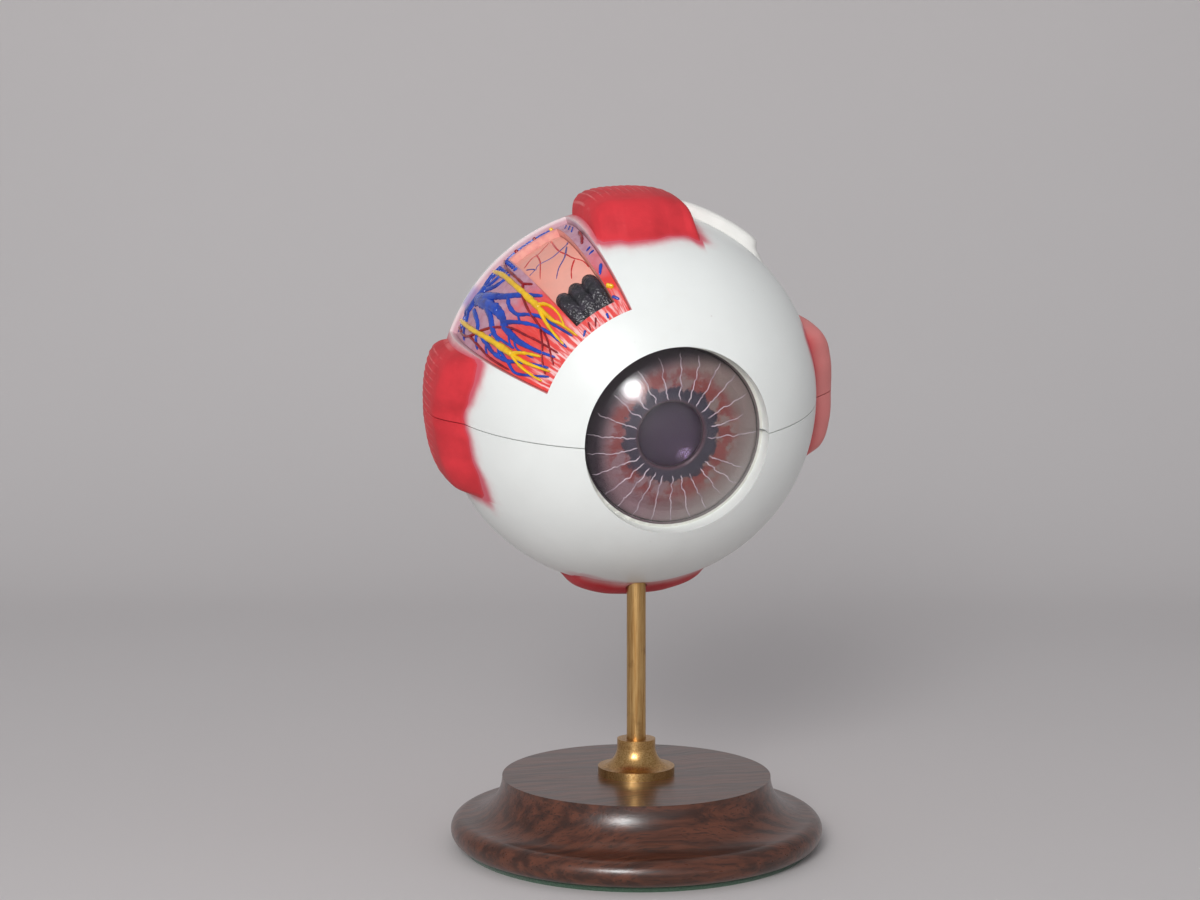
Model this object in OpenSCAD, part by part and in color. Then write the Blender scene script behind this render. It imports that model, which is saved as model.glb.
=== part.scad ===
// Eye anatomy model, five times life size, on a brass rod and a turned wooden base.
//
// Two frames are used. The stand is drawn upright: Z points up the rod, and the origin is
// on the table under it. The eye is drawn in its own frame, with its centre at the origin,
// +Z along the gaze, +Y towards the top of the eye and +X towards the viewer's right, and
// eye_place() carries it to its seat on the rod. A place on the ball is given by its polar
// angle, measured from the gaze, and its azimuth, which is 0 at the viewer's right and 90
// at the top. The ball splits along the plane Y = 0.

/* [Ball] */
// Outer radius of the white ball
ball_r = 60; // [57:0.5:63]
// Wall of the white shell
sclera_t = 5; // [4.5:0.25:5.5]
// Wall of the vascular layer inside the white shell
choroid_t = 2.6; // [2.2:0.1:2.9]
// Wall of the retina layer inside the vascular layer
retina_t = 1.2; // [1:0.1:1.4]
// Open seam between the upper and the lower half
seam_gap = 0.3; // [0.2:0.05:0.4]
// Height of the ball's centre above the table
ball_z = 140; // [132:1:155]
// How far the ball's centre sits behind the rod
ball_back = 10; // [7:0.5:12]
// How far the gaze points below level, in degrees
gaze_tilt = 13.25; // [10:0.25:18]
// How far the eye is turned about its gaze, raising the viewer's right, in degrees
gaze_roll = 3.75; // [0:0.25:6]

/* [Front unit] */
// Radius of the round opening for the cornea
opening_r = 28.3; // [27:0.1:29.5]
// Radial play of the cornea and the iris in the opening
front_play = 0.5; // [0.35:0.05:0.7]
// Outer radius of the clear dome's curve
dome_r = 39; // [36:0.5:44]
// Wall of the clear dome
dome_t = 1.6; // [1.2:0.1:2]
// Height of the straight skirt under the clear dome
skirt_h = 1.2; // [0.8:0.1:1.8]
// Thickness of the iris disc
iris_t = 1.6; // [1.2:0.1:2]
// Radius of the pupil
pupil_r = 10; // [8:0.25:12]
// Radius of the raised ring round the pupil
collarette_r = 15; // [13.5:0.5:17]
// Height of the raised ring above the iris disc
collarette_h = 0.5; // [0.3:0.1:0.8]

/* [Lens and vitreous] */
// Radius of the lens
lens_r = 21.5; // [20:0.25:22]
// Radius of the lens's front curve
lens_front_r = 50; // [45:1:60]
// Radius of the lens's back curve
lens_back_r = 30; // [28:0.5:34]
// Thickness of the lens at its edge
lens_edge = 2; // [1.5:0.1:2.6]
// Space between the iris and the front of the lens
lens_space = 1; // [0.7:0.1:1.3]
// Wall of the hollow vitreous body
vitreous_t = 2; // [1.5:0.1:2.5]
// Depth of the lens's edge ahead of the vitreous body's flat front
lens_stand_off = 3; // [2.6:0.1:3.4]

/* [Ciliary ring] */
// Radial width of the ledge that the iris rests on
ledge_w = 6; // [5:0.25:6.5]
// Polar angle of the vascular layer's front edge
choroid_front = 40; // [39:0.25:41]
// Polar angle of the retina's front edge
retina_front = 47.5; // [47:0.25:48]
// Folds in the inner edge of one half of the ring
fold_count = 18; // [10:1:22]
// Depth of a fold
fold_depth = 3; // [1.5:0.25:3.5]
// Width of a fold
fold_w = 1.2; // [0.8:0.1:1.6]

/* [Window] */
// Polar angle of the window's front edge
window_front = 42; // [41:0.5:43]
// Polar angle of the window's rear edge
window_back = 101; // [100:0.5:104]
// Azimuth of the window's upper edge
window_top = 107; // [106.5:0.25:108]
// Azimuth of the window's lower edge
window_bottom = 158.5; // [157.5:0.25:159.5]
// Depth of the painted vascular layer below the ball's surface, in the window
window_depth = 2.2; // [1.9:0.1:2.6]
// Polar angle of the inner recess's rear edge
recess_back = 98.5; // [97:0.25:99]
// Azimuth of the inner recess's upper edge
recess_top = 111.25; // [111:0.25:112]
// Azimuth of the inner recess's lower edge
recess_bottom = 129.25; // [128.75:0.25:129.5]
// Depth of the inner recess below the painted layer
recess_depth = 2.6; // [2.3:0.1:2.8]
// Number of black pleats side by side in the recess
pleat_count = 4; // [3:1:4]
// Half width of one black pleat in the recess
pleat_w = 1.7; // [1.4:0.05:1.8]
// Height of the black pleats above the recess's floor
pleat_h = 2.2; // [1.6:0.1:2.6]
// Polar angle of the pleats' rear ends
pleat_back = 57; // [55:0.5:60]

/* [Vessels and nerves on the vascular layer] */
// Half width of the vortex vein's trunk
trunk_w = 2.2; // [1.8:0.1:2.6]
// Half width of a vein branch where it leaves the trunk
vein_w = 1; // [0.7:0.05:1.2]
// Height of the veins above the layer
vein_h = 0.8; // [0.5:0.05:1.2]
// Half width of an artery
artery_w = 0.5; // [0.35:0.05:0.7]
// Height of the arteries above the layer
artery_h = 0.5; // [0.3:0.05:0.8]
// Half width of a nerve before it forks
nerve_w = 0.9; // [0.6:0.05:1.1]
// Height of the nerves above the layer
nerve_h = 0.9; // [0.6:0.05:1.2]

/* [Muscles] */
// Thickness of the upper muscle
superior_t = 6.6; // [5.5:0.1:7.5]
// Width of the upper muscle
superior_w = 32.5; // [30:0.5:34]
// Polar angle at which the upper muscle meets the ball
superior_front = 66; // [63:0.5:70]
// Thickness of the muscle on the nose side
medial_t = 5; // [4:0.1:6]
// Thickness of the muscle on the outer side
lateral_t = 6.4; // [5.5:0.1:7]
// Width of the side muscles
side_w = 43; // [40:0.5:45]
// Polar angle at which the side muscles meet the ball
side_front = 67; // [63:0.5:70]
// Thickness of the lower muscle
inferior_t = 3.4; // [2.8:0.1:4.5]
// Width of the lower muscle
inferior_w = 43; // [40:0.5:46]
// Polar angle at which the lower muscle meets the ball
inferior_front = 62; // [59:0.5:64]
// Polar angle at which the four straight muscles are cut off
muscle_back = 104; // [100:0.5:110]
// Angle over which a muscle rises from the ball to its full thickness
muscle_rise = 11; // [9:0.5:15]
// Radius of the muscles' rounded corners
muscle_corner = 6; // [4:0.5:8]
// Thickness of the upper oblique muscle's tendon
tendon_t = 4.2; // [3:0.1:4.5]
// Width of the upper oblique muscle's tendon
tendon_w = 13; // [11:0.5:14]
// Length of the tendon, part of it under the upper muscle
tendon_len = 30; // [28:0.5:32]
// Thickness of the lower oblique muscle
oblique_t = 4.2; // [3.5:0.1:5]
// Width of the lower oblique muscle
oblique_w = 13; // [11:0.5:15]
// Length of the lower oblique muscle's stump
oblique_len = 24; // [20:0.5:26]

/* [Optic nerve] */
// Radius of the optic nerve
nerve_r = 7.5; // [6.5:0.25:8.5]
// Wall of the sheath round the optic nerve
sheath_t = 2.4; // [1.8:0.1:3]
// How far the nerve stands out of the ball
nerve_len = 13; // [9:0.5:18]
// How far the nerve stands out of its sheath
nerve_proud = 1.5; // [1:0.1:3]
// Angle of the nerve from straight back, towards the nose
nerve_angle = 15; // [12:0.5:18]

/* [Stand] */
// Radius of the brass rod
rod_r = 3; // [2.5:0.1:3.5]
// Running clearance of the rod in its socket, on the radius
swivel_play = 0.05; // [0.03:0.01:0.08]
// Wall of the brass socket in the ball
socket_wall = 2; // [1.5:0.1:2.2]
// Brass over the rod's end in the socket
socket_cap = 1.2; // [1:0.1:1.6]
// Radius of the wooden base
base_r = 58; // [54:1:66]
// Height of the wooden base
base_h = 20; // [19:0.5:24]
// Radius of the round moulding at the foot of the base
bead_r = 4; // [3:0.25:4.5]
// Thickness of the felt under the base
felt_t = 1.5; // [1:0.25:2.5]
// Radius of the steel weight in the base
weight_r = 40; // [34:0.5:42]
// Thickness of the steel weight
weight_t = 5; // [4:0.25:6]
// Wood left above the steel weight
weight_cover = 8; // [7:0.5:9]
// Thickness of the washer under the weight
washer_t = 1.2; // [0.8:0.1:1.6]
// Radius of the washer
washer_r = 9; // [8:0.5:11]
// Width of the nut across its flats
nut_af = 10; // [9.5:0.5:11]
// Thickness of the nut
nut_t = 4.5; // [4:0.25:5]
// How far the rod's threaded end stands out of the nut
rod_end = 0.6; // [0.3:0.1:0.8]
// Radius of the ferrule's foot
ferrule_r = 12; // [10:0.5:15]
// Height of the ferrule's foot
ferrule_foot = 2.5; // [2:0.25:3.5]
// Height of the whole ferrule
ferrule_h = 11; // [9:0.5:14]
// Wall of the ferrule's neck
ferrule_wall = 3; // [2:0.25:4]

/* [Seam pins] */
// Radius of a seam pin
pin_r = 1.25; // [1:0.05:1.4]
// Depth of a seam pin in each half
pin_depth = 5; // [4:0.25:6]
// Clearance of a seam pin in its upper hole, on the radius
pin_play = 0.08; // [0.06:0.01:0.1]

/* [Hidden] */
$fn = 96;
far = 200;                 // reach of the cutting shapes, past every surface
bond = 0.15;               // space between pieces that are glued or cemented together
fit = 0.3;                 // space between pieces that come apart
bore_play = 0.05;          // radial clearance of a hole round a fixed pin or rod

// Layers of the ball, from the outside in
choroid_r = ball_r - sclera_t - bond;
choroid_in = choroid_r - choroid_t;
retina_r = choroid_in - bond;
retina_in = retina_r - retina_t;
vitreous_r = retina_in - fit;

// Surfaces seen in the window and in its inner recess, raised above the two inner layers
layer_r = ball_r - window_depth;
recess_r = layer_r - recess_depth;
pad_gap = 0.25;            // space round a raised surface, in degrees

// Least thickness of a muscle, at its front edge
muscle_edge = 0.3;

// The front unit, from the lip of the opening inwards
front_r = opening_r - front_play;
dome_foot_z = sqrt(pow(ball_r - sclera_t, 2) - pow(opening_r, 2));
dome_centre_z = dome_foot_z - sqrt(dome_r * dome_r - front_r * front_r);
skirt_z = dome_foot_z - skirt_h;
iris_front_z = skirt_z - bond;
iris_back_z = iris_front_z - iris_t;
ledge_z = iris_back_z - bond;

// The lens, between the iris and the vitreous body
lens_top_z = iris_back_z - lens_space;
lens_front_c = lens_top_z - lens_front_r;
lens_edge_z = lens_front_c + sqrt(lens_front_r * lens_front_r - lens_r * lens_r);
lens_rear_z = lens_edge_z - lens_edge;
lens_back_c = lens_rear_z + sqrt(lens_back_r * lens_back_r - lens_r * lens_r);
vitreous_front_z = lens_rear_z - lens_stand_off;

// The ciliary ring, round the lens and in front of the vitreous body
ring_r = lens_r + 2 * fit;
ring_back_z = vitreous_front_z + fit;
ring_front_z = lens_edge_z + fit;
ledge_in_r = front_r - ledge_w / 2;
ledge_out_r = front_r + ledge_w / 2;
ledge_side_z = ledge_z - 1;

// The socket, whose top stays under the retina
socket_r = rod_r + socket_wall;
socket_top_z = ball_z - sqrt(pow(retina_r + bond, 2) - pow(max(0, ball_back - socket_r), 2));
rod_top_z = socket_top_z - socket_cap - bond;

// The stand, from the table up
base_top_z = felt_t + base_h;
weight_top_z = base_top_z - weight_cover;
weight_z = weight_top_z - weight_t;
washer_z = weight_z - washer_t;
nut_z = washer_z - nut_t;
rod_foot_z = nut_z - rod_end;

// Where the seam pins stand, in degrees from the gaze round the seam
pin_angles = [60, -60, 150];

// Azimuths of the muscles' middles
superior_az = 89;
medial_az = 182.75;
lateral_az = 1;
inferior_az = 268;

// Middle of the upper oblique tendon and of the lower oblique stump: polar angle, azimuth
tendon_at = [95, 60];
oblique_at = [116, 318];
// Turn of the tendon, its outer end towards the front, in degrees
tendon_turn = 18;

// Routes on the vascular layer, each a list of polar angle and azimuth
trunk_route = [[97, 141], [96, 143], [94, 146], [92, 149]];
vein_routes = [
    [[96, 142], [98, 139], [98, 136], [96, 134]],
    [[94, 142], [87, 138], [85, 135], [83, 132]],
    [[93, 144], [79, 139], [73, 136], [68, 133], [64, 131]],
    [[76, 138], [71, 140], [66, 140], [59, 136], [54, 135], [46, 133]],
    [[91, 145], [79, 143], [72, 144], [67, 147], [58, 147], [52, 146], [46, 144]],
    [[87, 144], [78, 146], [74, 148], [70, 150], [67, 151]],
    [[91, 148], [83, 150], [79, 154], [75, 157]],
    [[94, 149], [92, 152], [88, 156]],
    [[68, 145], [66, 143], [60, 140], [51, 138], [45, 139]],
    [[71, 150], [66, 150], [60, 150]],
    [[72, 153], [67, 155], [60, 155], [53, 152], [46, 149]],
    [[60, 155], [54, 157], [48, 155], [45, 152]],
];
nerve_trunks = [
    [[99, 135], [87, 134], [74, 134], [67, 134], [61, 134]],
    [[99, 153.5], [90, 153.5], [80, 152.5], [70, 152], [59, 152]],
];
nerve_twigs = [
    [[62, 134], [55, 134], [52, 133], [45, 131.5]],
    [[62, 134], [56, 136], [52, 137], [46, 138]],
    [[63, 133.5], [58, 131], [54, 131], [50.5, 132.5]],
    [[60, 152], [56, 149], [50, 147]],
    [[60, 152], [54, 152], [45, 150]],
    [[60, 152], [55, 154], [46, 155]],
];
artery_routes = [
    [[99, 131], [90, 132], [80, 132], [73, 132], [70, 135], [64, 137], [55, 139],
     [51, 141], [45, 147]],
    [[74, 132], [71, 130.5]],
    [[94, 156], [84, 155], [77, 151], [72, 148], [65, 145], [59, 144], [49, 142]],
    [[81, 155], [74, 156], [67, 157], [60, 157]],
];

// ---- Shared shapes ----

// Carries the eye from its own frame to its seat on the rod
module eye_place() {
    translate([0, ball_back, ball_z]) rotate([90 + gaze_tilt, 0, 0]) rotate([0, 0, gaze_roll])
        children();
}

// Carries a piece drawn on the stand's axis into the eye's own frame
module from_stand() {
    rotate([0, 0, -gaze_roll]) rotate([-90 - gaze_tilt, 0, 0])
        translate([0, -ball_back, -ball_z]) children();
}

// Keeps the part of its children above the seam
module upper_half() {
    intersection() {
        children();
        translate([-far, seam_gap / 2, -far]) cube([2 * far, far, 2 * far]);
    }
}

// Keeps the part of its children below the seam
module lower_half() {
    intersection() {
        children();
        translate([-far, -far - seam_gap / 2, -far]) cube([2 * far, far, 2 * far]);
    }
}

// Flat slice of a ring between two radii and two polar angles
module ring_slice(r_in, r_out, polar_a, polar_b) {
    intersection() {
        difference() {
            circle(r = r_out);
            circle(r = r_in);
        }
        polygon([
            [0, 0],
            [far * sin(polar_a), far * cos(polar_a)],
            [far * sin(polar_b), far * cos(polar_b)]
        ]);
    }
}

// Solid patch of a shell between two radii, two polar angles and two azimuths
module shell_patch(r_in, r_out, polar_a, polar_b, az_a, az_b) {
    rotate([0, 0, az_a]) rotate_extrude(angle = az_b - az_a)
        ring_slice(r_in, r_out, polar_a, polar_b);
}

// Ball cup between two radii, open in front of a polar angle
module cup(r_in, r_out, polar_front) {
    rotate_extrude() {
        difference() {
            intersection() {
                circle(r = r_out);
                translate([0, -far]) square([far, 2 * far]);
            }
            circle(r = r_in);
            polygon([[0, 0], [0, far], [far * sin(polar_front), far * cos(polar_front)]]);
        }
    }
}

// Turns +Z to point away from the ball at a polar angle and an azimuth
module point_at(polar, az) {
    rotate([0, 0, az]) rotate([0, polar, 0]) children();
}

// Turns +Z to run out along the optic nerve
module nerve_axis() {
    point_at(180 - nerve_angle, 180) children();
}

// Rounded rectangle from one corner to the other
module rounded_rect(low, high, corner) {
    c = min(corner, (high[0] - low[0]) / 2, (high[1] - low[1]) / 2);
    translate([low[0] + c, low[1]]) square([high[0] - low[0] - 2 * c, high[1] - low[1]]);
    translate([low[0], low[1] + c]) square([high[0] - low[0], high[1] - low[1] - 2 * c]);
    for (x = [low[0] + c, high[0] - c], y = [low[1] + c, high[1] - c])
        translate([x, y]) circle(r = c);
}

// ---- Muscles ----

// Smooth rise from 0 to 1
function rise(t) = t <= 0 ? 0 : t >= 1 ? 1 : t * t * (3 - 2 * t);

// Height of a straight muscle above the ball at a polar angle
function muscle_height(polar, front, t) =
    max(muscle_edge, t * rise((polar - front) / muscle_rise));

// Outer radius of a straight muscle at a polar angle
function muscle_outer(polar, front, t) = ball_r + bond + muscle_height(polar, front, t);

// Side view of a straight muscle along its own meridian
module muscle_section(front, t) {
    steps = 14;
    difference() {
        polygon(concat([[0, 0]], [
            for (i = [0 : steps])
                let (p = front + (muscle_back - front) * i / steps)
                muscle_outer(p, front, t) * [sin(p), cos(p)]
        ]));
        circle(r = ball_r + bond);
    }
}

// Straight-sided column that trims a straight muscle to its outline
module muscle_column(az, front, w, grow) {
    rotate([0, 0, az]) rotate([0, 90, 0])
        linear_extrude(height = far)
            rounded_rect([-ball_r * cos(front) - grow, -w / 2 - grow],
                         [ball_r, w / 2 + grow], muscle_corner);
}

// Straight muscle stump, lying on the ball along one azimuth
module straight_muscle(az, front, w, t) {
    intersection() {
        rotate([0, 0, az - 60]) rotate_extrude(angle = 120) muscle_section(front, t);
        muscle_column(az, front, w, 0);
    }
}

// Flat stump of one thickness, lying on the ball round a place and turned there
module flat_stump(at, len_x, len_y, t, turn = 0) {
    intersection() {
        difference() {
            sphere(r = ball_r + bond + t);
            sphere(r = ball_r + bond);
        }
        point_at(at[0], at[1]) rotate([0, 0, -turn]) linear_extrude(height = far)
            rounded_rect([-len_x / 2, -len_y / 2], [len_x / 2, len_y / 2], muscle_corner);
    }
}

// ---- Relief on the vascular layer ----

// Point on a smooth curve through a route's points, a share t past point i
function on_curve(p, i, t) =
    let (last = len(p) - 1)
    let (a = p[max(i - 1, 0)], b = p[i], c = p[i + 1], d = p[min(i + 2, last)])
    (2 * b + (c - a) * t + (2 * a - 5 * b + 4 * c - d) * t * t
        + (3 * b - a - 3 * c + d) * t * t * t) / 2;

// Smooth route with two points to each stretch
function smooth_route(p) = [
    for (i = [0 : len(p) - 2]) for (t = [0, 0.5]) on_curve(p, i, t),
    p[len(p) - 1]
];

// Low round-ended stud on a layer of the ball
module stud(seat_r, at, w, h) {
    point_at(at[0], at[1]) translate([0, 0, seat_r + bond])
        cylinder(r1 = w, r2 = 0.6 * w, h = h, $fn = 6);
}

// Raised ribbon along a route, narrowing from one half width to another
module relief(seat_r, route, w_start, w_end, h) {
    path = smooth_route(route);
    last = len(path) - 1;
    widths = [for (i = [0 : last]) w_start + (w_end - w_start) * i / last];
    for (i = [0 : last - 1]) hull() {
        stud(seat_r, path[i], widths[i], h);
        stud(seat_r, path[i + 1], widths[i + 1], h);
    }
}

module vein_relief(grow) {
    relief(layer_r, trunk_route, trunk_w + grow, trunk_w * 0.7 + grow, 2 * vein_h + grow);
    for (route = vein_routes)
        relief(layer_r, route, vein_w + grow, vein_w / 2 + grow, vein_h + grow);
}

module nerve_relief(grow) {
    for (route = nerve_trunks)
        relief(layer_r, route, nerve_w + grow, nerve_w + grow, nerve_h + grow);
    for (route = nerve_twigs)
        relief(layer_r, route, nerve_w * 0.7 + grow, nerve_w / 2 + grow,
               nerve_h * 0.7 + grow);
}

// ---- Stand ----

module base() {
    color([0.17, 0.09, 0.06])
    difference() {
        translate([0, 0, felt_t]) rotate_extrude() base_section();
        translate([0, 0, -1]) cylinder(r = weight_r + bore_play, h = weight_top_z + 1);
        cylinder(r = rod_r + bore_play, h = far);
    }
}

// Side view of the base: a round moulding at the foot and a hollow curve above it
module base_section() {
    cove_r = base_h - 2 * bead_r;
    square([base_r - bead_r, 2 * bead_r]);
    translate([base_r - bead_r, bead_r]) circle(r = bead_r);
    difference() {
        square([base_r - bead_r, base_h]);
        translate([base_r - bead_r, base_h]) circle(r = cove_r);
    }
}

module base_felt() {
    color([0.10, 0.23, 0.15])
    cylinder(r = base_r - bead_r, h = felt_t);
}

module base_weight() {
    color([0.45, 0.46, 0.48])
    translate([0, 0, weight_z]) difference() {
        cylinder(r = weight_r, h = weight_t);
        translate([0, 0, -1]) cylinder(r = rod_r + bore_play, h = weight_t + 2);
    }
}

module washer() {
    color([0.72, 0.72, 0.72])
    translate([0, 0, washer_z]) difference() {
        cylinder(r = washer_r, h = washer_t);
        translate([0, 0, -1]) cylinder(r = rod_r + bore_play, h = washer_t + 2);
    }
}

module nut() {
    color([0.78, 0.62, 0.35])
    translate([0, 0, nut_z]) difference() {
        cylinder(r = nut_af / sqrt(3), h = nut_t, $fn = 6);
        translate([0, 0, -1]) cylinder(r = rod_r + bore_play, h = nut_t + 2);
    }
}

module ferrule() {
    neck_r = rod_r + ferrule_wall;
    curve_r = min(ferrule_r - neck_r, ferrule_h - ferrule_foot);
    color([0.78, 0.62, 0.35])
    translate([0, 0, base_top_z]) difference() {
        rotate_extrude() {
            square([ferrule_r, ferrule_foot]);
            square([neck_r, ferrule_h]);
            difference() {
                square([neck_r + curve_r, ferrule_foot + curve_r]);
                translate([neck_r + curve_r, ferrule_foot + curve_r]) circle(r = curve_r);
            }
        }
        translate([0, 0, -1]) cylinder(r = rod_r + bore_play, h = ferrule_h + 2);
    }
}

module rod() {
    color([0.78, 0.62, 0.35])
    translate([0, 0, rod_foot_z]) cylinder(r = rod_r, h = rod_top_z - rod_foot_z);
}

// ---- Lower half of the ball ----

// Brass socket for the rod, drawn in the eye's own frame
module socket_solid(grow) {
    from_stand() cylinder(r = socket_r + grow, h = socket_top_z + grow);
}

module rod_socket() {
    color([0.70, 0.52, 0.28])
    eye_place() difference() {
        intersection() {
            socket_solid(0);
            sphere(r = ball_r);
        }
        from_stand() cylinder(r = rod_r + swivel_play, h = socket_top_z - socket_cap);
    }
}

// White shell before it is split, with its front opening and the hole for the nerve
module sclera() {
    difference() {
        sphere(r = ball_r);
        sphere(r = ball_r - sclera_t);
        cylinder(r = opening_r, h = far);
        nerve_axis() cylinder(r = nerve_r + bond, h = far);
    }
}

// Vascular layer before it is split
module choroid() {
    difference() {
        cup(choroid_in, choroid_r, choroid_front);
        nerve_axis() cylinder(r = nerve_r + bond, h = far);
    }
}

// Retina before it is split
module retina() {
    difference() {
        cup(retina_in, retina_r, retina_front);
        nerve_axis() cylinder(r = nerve_r + bond, h = far);
    }
}

// Points along an arc round the ball's centre, between two polar angles
function arc_points(r, polar_a, polar_b) =
    let (steps = 4)
    [for (i = [0 : steps]) let (p = polar_a + (polar_b - polar_a) * i / steps) r * [sin(p), cos(p)]];

// Side view of the ciliary ring: folds round the lens, and the ledge under the iris. Its
// outer side follows the white shell, then steps in past the two inner layers' edges.
module ciliary_section() {
    step = 0.3;
    shell_side = arc_points(choroid_r, acos(ledge_side_z / choroid_r), choroid_front - step);
    choroid_side = arc_points(choroid_in - bond, choroid_front - step, retina_front - step);
    retina_side = arc_points(retina_in - bond, retina_front - step,
                             acos(ring_back_z / (retina_in - bond)));
    polygon(concat([
        [ring_r, ring_back_z],
        [ring_r, ring_front_z],
        [ledge_in_r, ring_front_z + ledge_w / 2],
        [ledge_in_r, ledge_z],
        [ledge_out_r, ledge_z]
    ], shell_side, choroid_side, retina_side));
}

// Half of the ciliary ring above the seam, with folds in its inner edge
module ciliary_half() {
    gap_angle = asin(seam_gap / 2 / ring_r);
    fold_step = 180 / fold_count;
    difference() {
        rotate([0, 0, gap_angle]) rotate_extrude(angle = 180 - 2 * gap_angle)
            ciliary_section();
        for (i = [0 : fold_count - 1])
            rotate([0, 0, (i + 0.5) * fold_step])
                translate([0, -fold_w / 2, ring_back_z - 1])
                    cube([ring_r + fold_depth, fold_w, far]);
    }
}

module seam_pin(angle, grow) {
    rotate([0, angle, 0]) translate([0, 0, ball_r - sclera_t / 2]) rotate([-90, 0, 0])
        translate([0, 0, -pin_depth - grow])
            cylinder(r = pin_r + grow, h = 2 * pin_depth + 2 * grow);
}

module seam_pins(grow) {
    for (angle = pin_angles) seam_pin(angle, grow);
}

module sclera_lower() {
    color([0.93, 0.93, 0.90])
    eye_place() difference() {
        lower_half() sclera();
        socket_solid(bore_play);
        seam_pins(bore_play);
    }
}

module choroid_lower() {
    color([0.66, 0.40, 0.44])
    eye_place() difference() {
        lower_half() choroid();
        socket_solid(bore_play);
    }
}

module retina_lower() {
    color([0.93, 0.62, 0.52])
    eye_place() lower_half() retina();
}

module ciliary_lower() {
    color([0.55, 0.22, 0.20])
    eye_place() rotate([0, 0, 180]) ciliary_half();
}

module medial_rectus_lower() {
    color([0.83, 0.25, 0.27])
    eye_place() lower_half() straight_muscle(medial_az, side_front, side_w, medial_t);
}

module lateral_rectus_lower() {
    color([0.83, 0.25, 0.27])
    eye_place() lower_half() straight_muscle(lateral_az, side_front, side_w, lateral_t);
}

module inferior_rectus() {
    color([0.83, 0.25, 0.27])
    eye_place() difference() {
        straight_muscle(inferior_az, inferior_front, inferior_w, inferior_t);
        from_stand() cylinder(r = rod_r + fit, h = ball_z);
    }
}

module inferior_oblique() {
    color([0.83, 0.25, 0.27])
    eye_place() flat_stump(oblique_at, oblique_w, oblique_len, oblique_t);
}

// Nerve from the retina's inner face out to its cut end
module optic_nerve() {
    difference() {
        nerve_axis() cylinder(r = nerve_r, h = ball_r + nerve_len + nerve_proud);
        sphere(r = retina_in);
    }
}

module optic_sheath() {
    difference() {
        nerve_axis() cylinder(r = nerve_r + bond + sheath_t, h = ball_r + nerve_len);
        sphere(r = ball_r + bond);
        nerve_axis() cylinder(r = nerve_r + bond, h = far);
    }
}

module optic_nerve_lower() {
    color([0.93, 0.83, 0.45])
    eye_place() lower_half() optic_nerve();
}

module optic_sheath_lower() {
    color([0.88, 0.84, 0.74])
    eye_place() lower_half() optic_sheath();
}

module seam_pin_right() {
    color([0.78, 0.62, 0.35])
    eye_place() seam_pin(pin_angles[0], 0);
}

module seam_pin_left() {
    color([0.78, 0.62, 0.35])
    eye_place() seam_pin(pin_angles[1], 0);
}

module seam_pin_back() {
    color([0.78, 0.62, 0.35])
    eye_place() seam_pin(pin_angles[2], 0);
}

// ---- Upper half of the ball ----

module sclera_upper() {
    color([0.93, 0.93, 0.90])
    eye_place() difference() {
        upper_half() sclera();
        shell_patch(choroid_in, far / 2, window_front, window_back, window_top, window_bottom);
        seam_pins(pin_play);
    }
}

// Raised patch that stands on a layer and fills a cut-out, clear of its edges all round
module pad(r_seat, r_top, polar_a, polar_b, az_a, az_b) {
    shell_patch(r_seat, r_top, polar_a + pad_gap, polar_b - pad_gap, az_a + pad_gap,
                az_b - pad_gap);
}

module choroid_upper() {
    color([0.66, 0.40, 0.44])
    eye_place() difference() {
        union() {
            upper_half() choroid();
            pad(choroid_r - choroid_t / 2, layer_r, window_front, window_back, window_top,
                window_bottom);
        }
        shell_patch(retina_in, far / 2, retina_front, recess_back, recess_top, recess_bottom);
    }
}

module retina_upper() {
    color([0.93, 0.62, 0.52])
    eye_place() {
        upper_half() retina();
        pad(retina_r - retina_t / 2, recess_r, retina_front, recess_back, recess_top,
            recess_bottom);
    }
}

module ciliary_upper() {
    color([0.55, 0.22, 0.20])
    eye_place() ciliary_half();
}

module medial_rectus_upper() {
    color([0.83, 0.25, 0.27])
    eye_place() upper_half() straight_muscle(medial_az, side_front, side_w, medial_t);
}

module lateral_rectus_upper() {
    color([0.83, 0.25, 0.27])
    eye_place() upper_half() straight_muscle(lateral_az, side_front, side_w, lateral_t);
}

module superior_rectus() {
    color([0.83, 0.25, 0.27])
    eye_place() straight_muscle(superior_az, superior_front, superior_w, superior_t);
}

// White band that comes out from under the upper muscle's outer side
module superior_oblique_tendon() {
    color([0.92, 0.91, 0.88])
    eye_place() difference() {
        flat_stump(tendon_at, tendon_w, tendon_len, tendon_t, tendon_turn);
        muscle_column(superior_az, superior_front, superior_w, bond);
    }
}

module optic_nerve_upper() {
    color([0.93, 0.83, 0.45])
    eye_place() upper_half() optic_nerve();
}

module optic_sheath_upper() {
    color([0.88, 0.84, 0.74])
    eye_place() upper_half() optic_sheath();
}

// Black folds side by side at the front of the recess
module pigment_pleats() {
    margin = pleat_w + 2 * fit;
    // Angles that the margin takes along the recess and across its narrow front end
    rise_angle = margin / recess_r * 180 / PI;
    front = retina_front + rise_angle;
    turn = rise_angle / sin(front);
    step = (recess_bottom - recess_top - 2 * turn) / (pleat_count - 1);
    color([0.09, 0.08, 0.09])
    eye_place() for (i = [0 : pleat_count - 1])
        let (az = recess_top + turn + i * step)
        relief(recess_r, [[front, az], [(front + pleat_back) / 2, az], [pleat_back, az]],
               pleat_w, pleat_w, pleat_h);
}

module vortex_veins() {
    color([0.13, 0.28, 0.68])
    eye_place() vein_relief(0);
}

module ciliary_nerves() {
    color([0.98, 0.80, 0.13])
    eye_place() difference() {
        nerve_relief(0);
        vein_relief(bond);
    }
}

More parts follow.
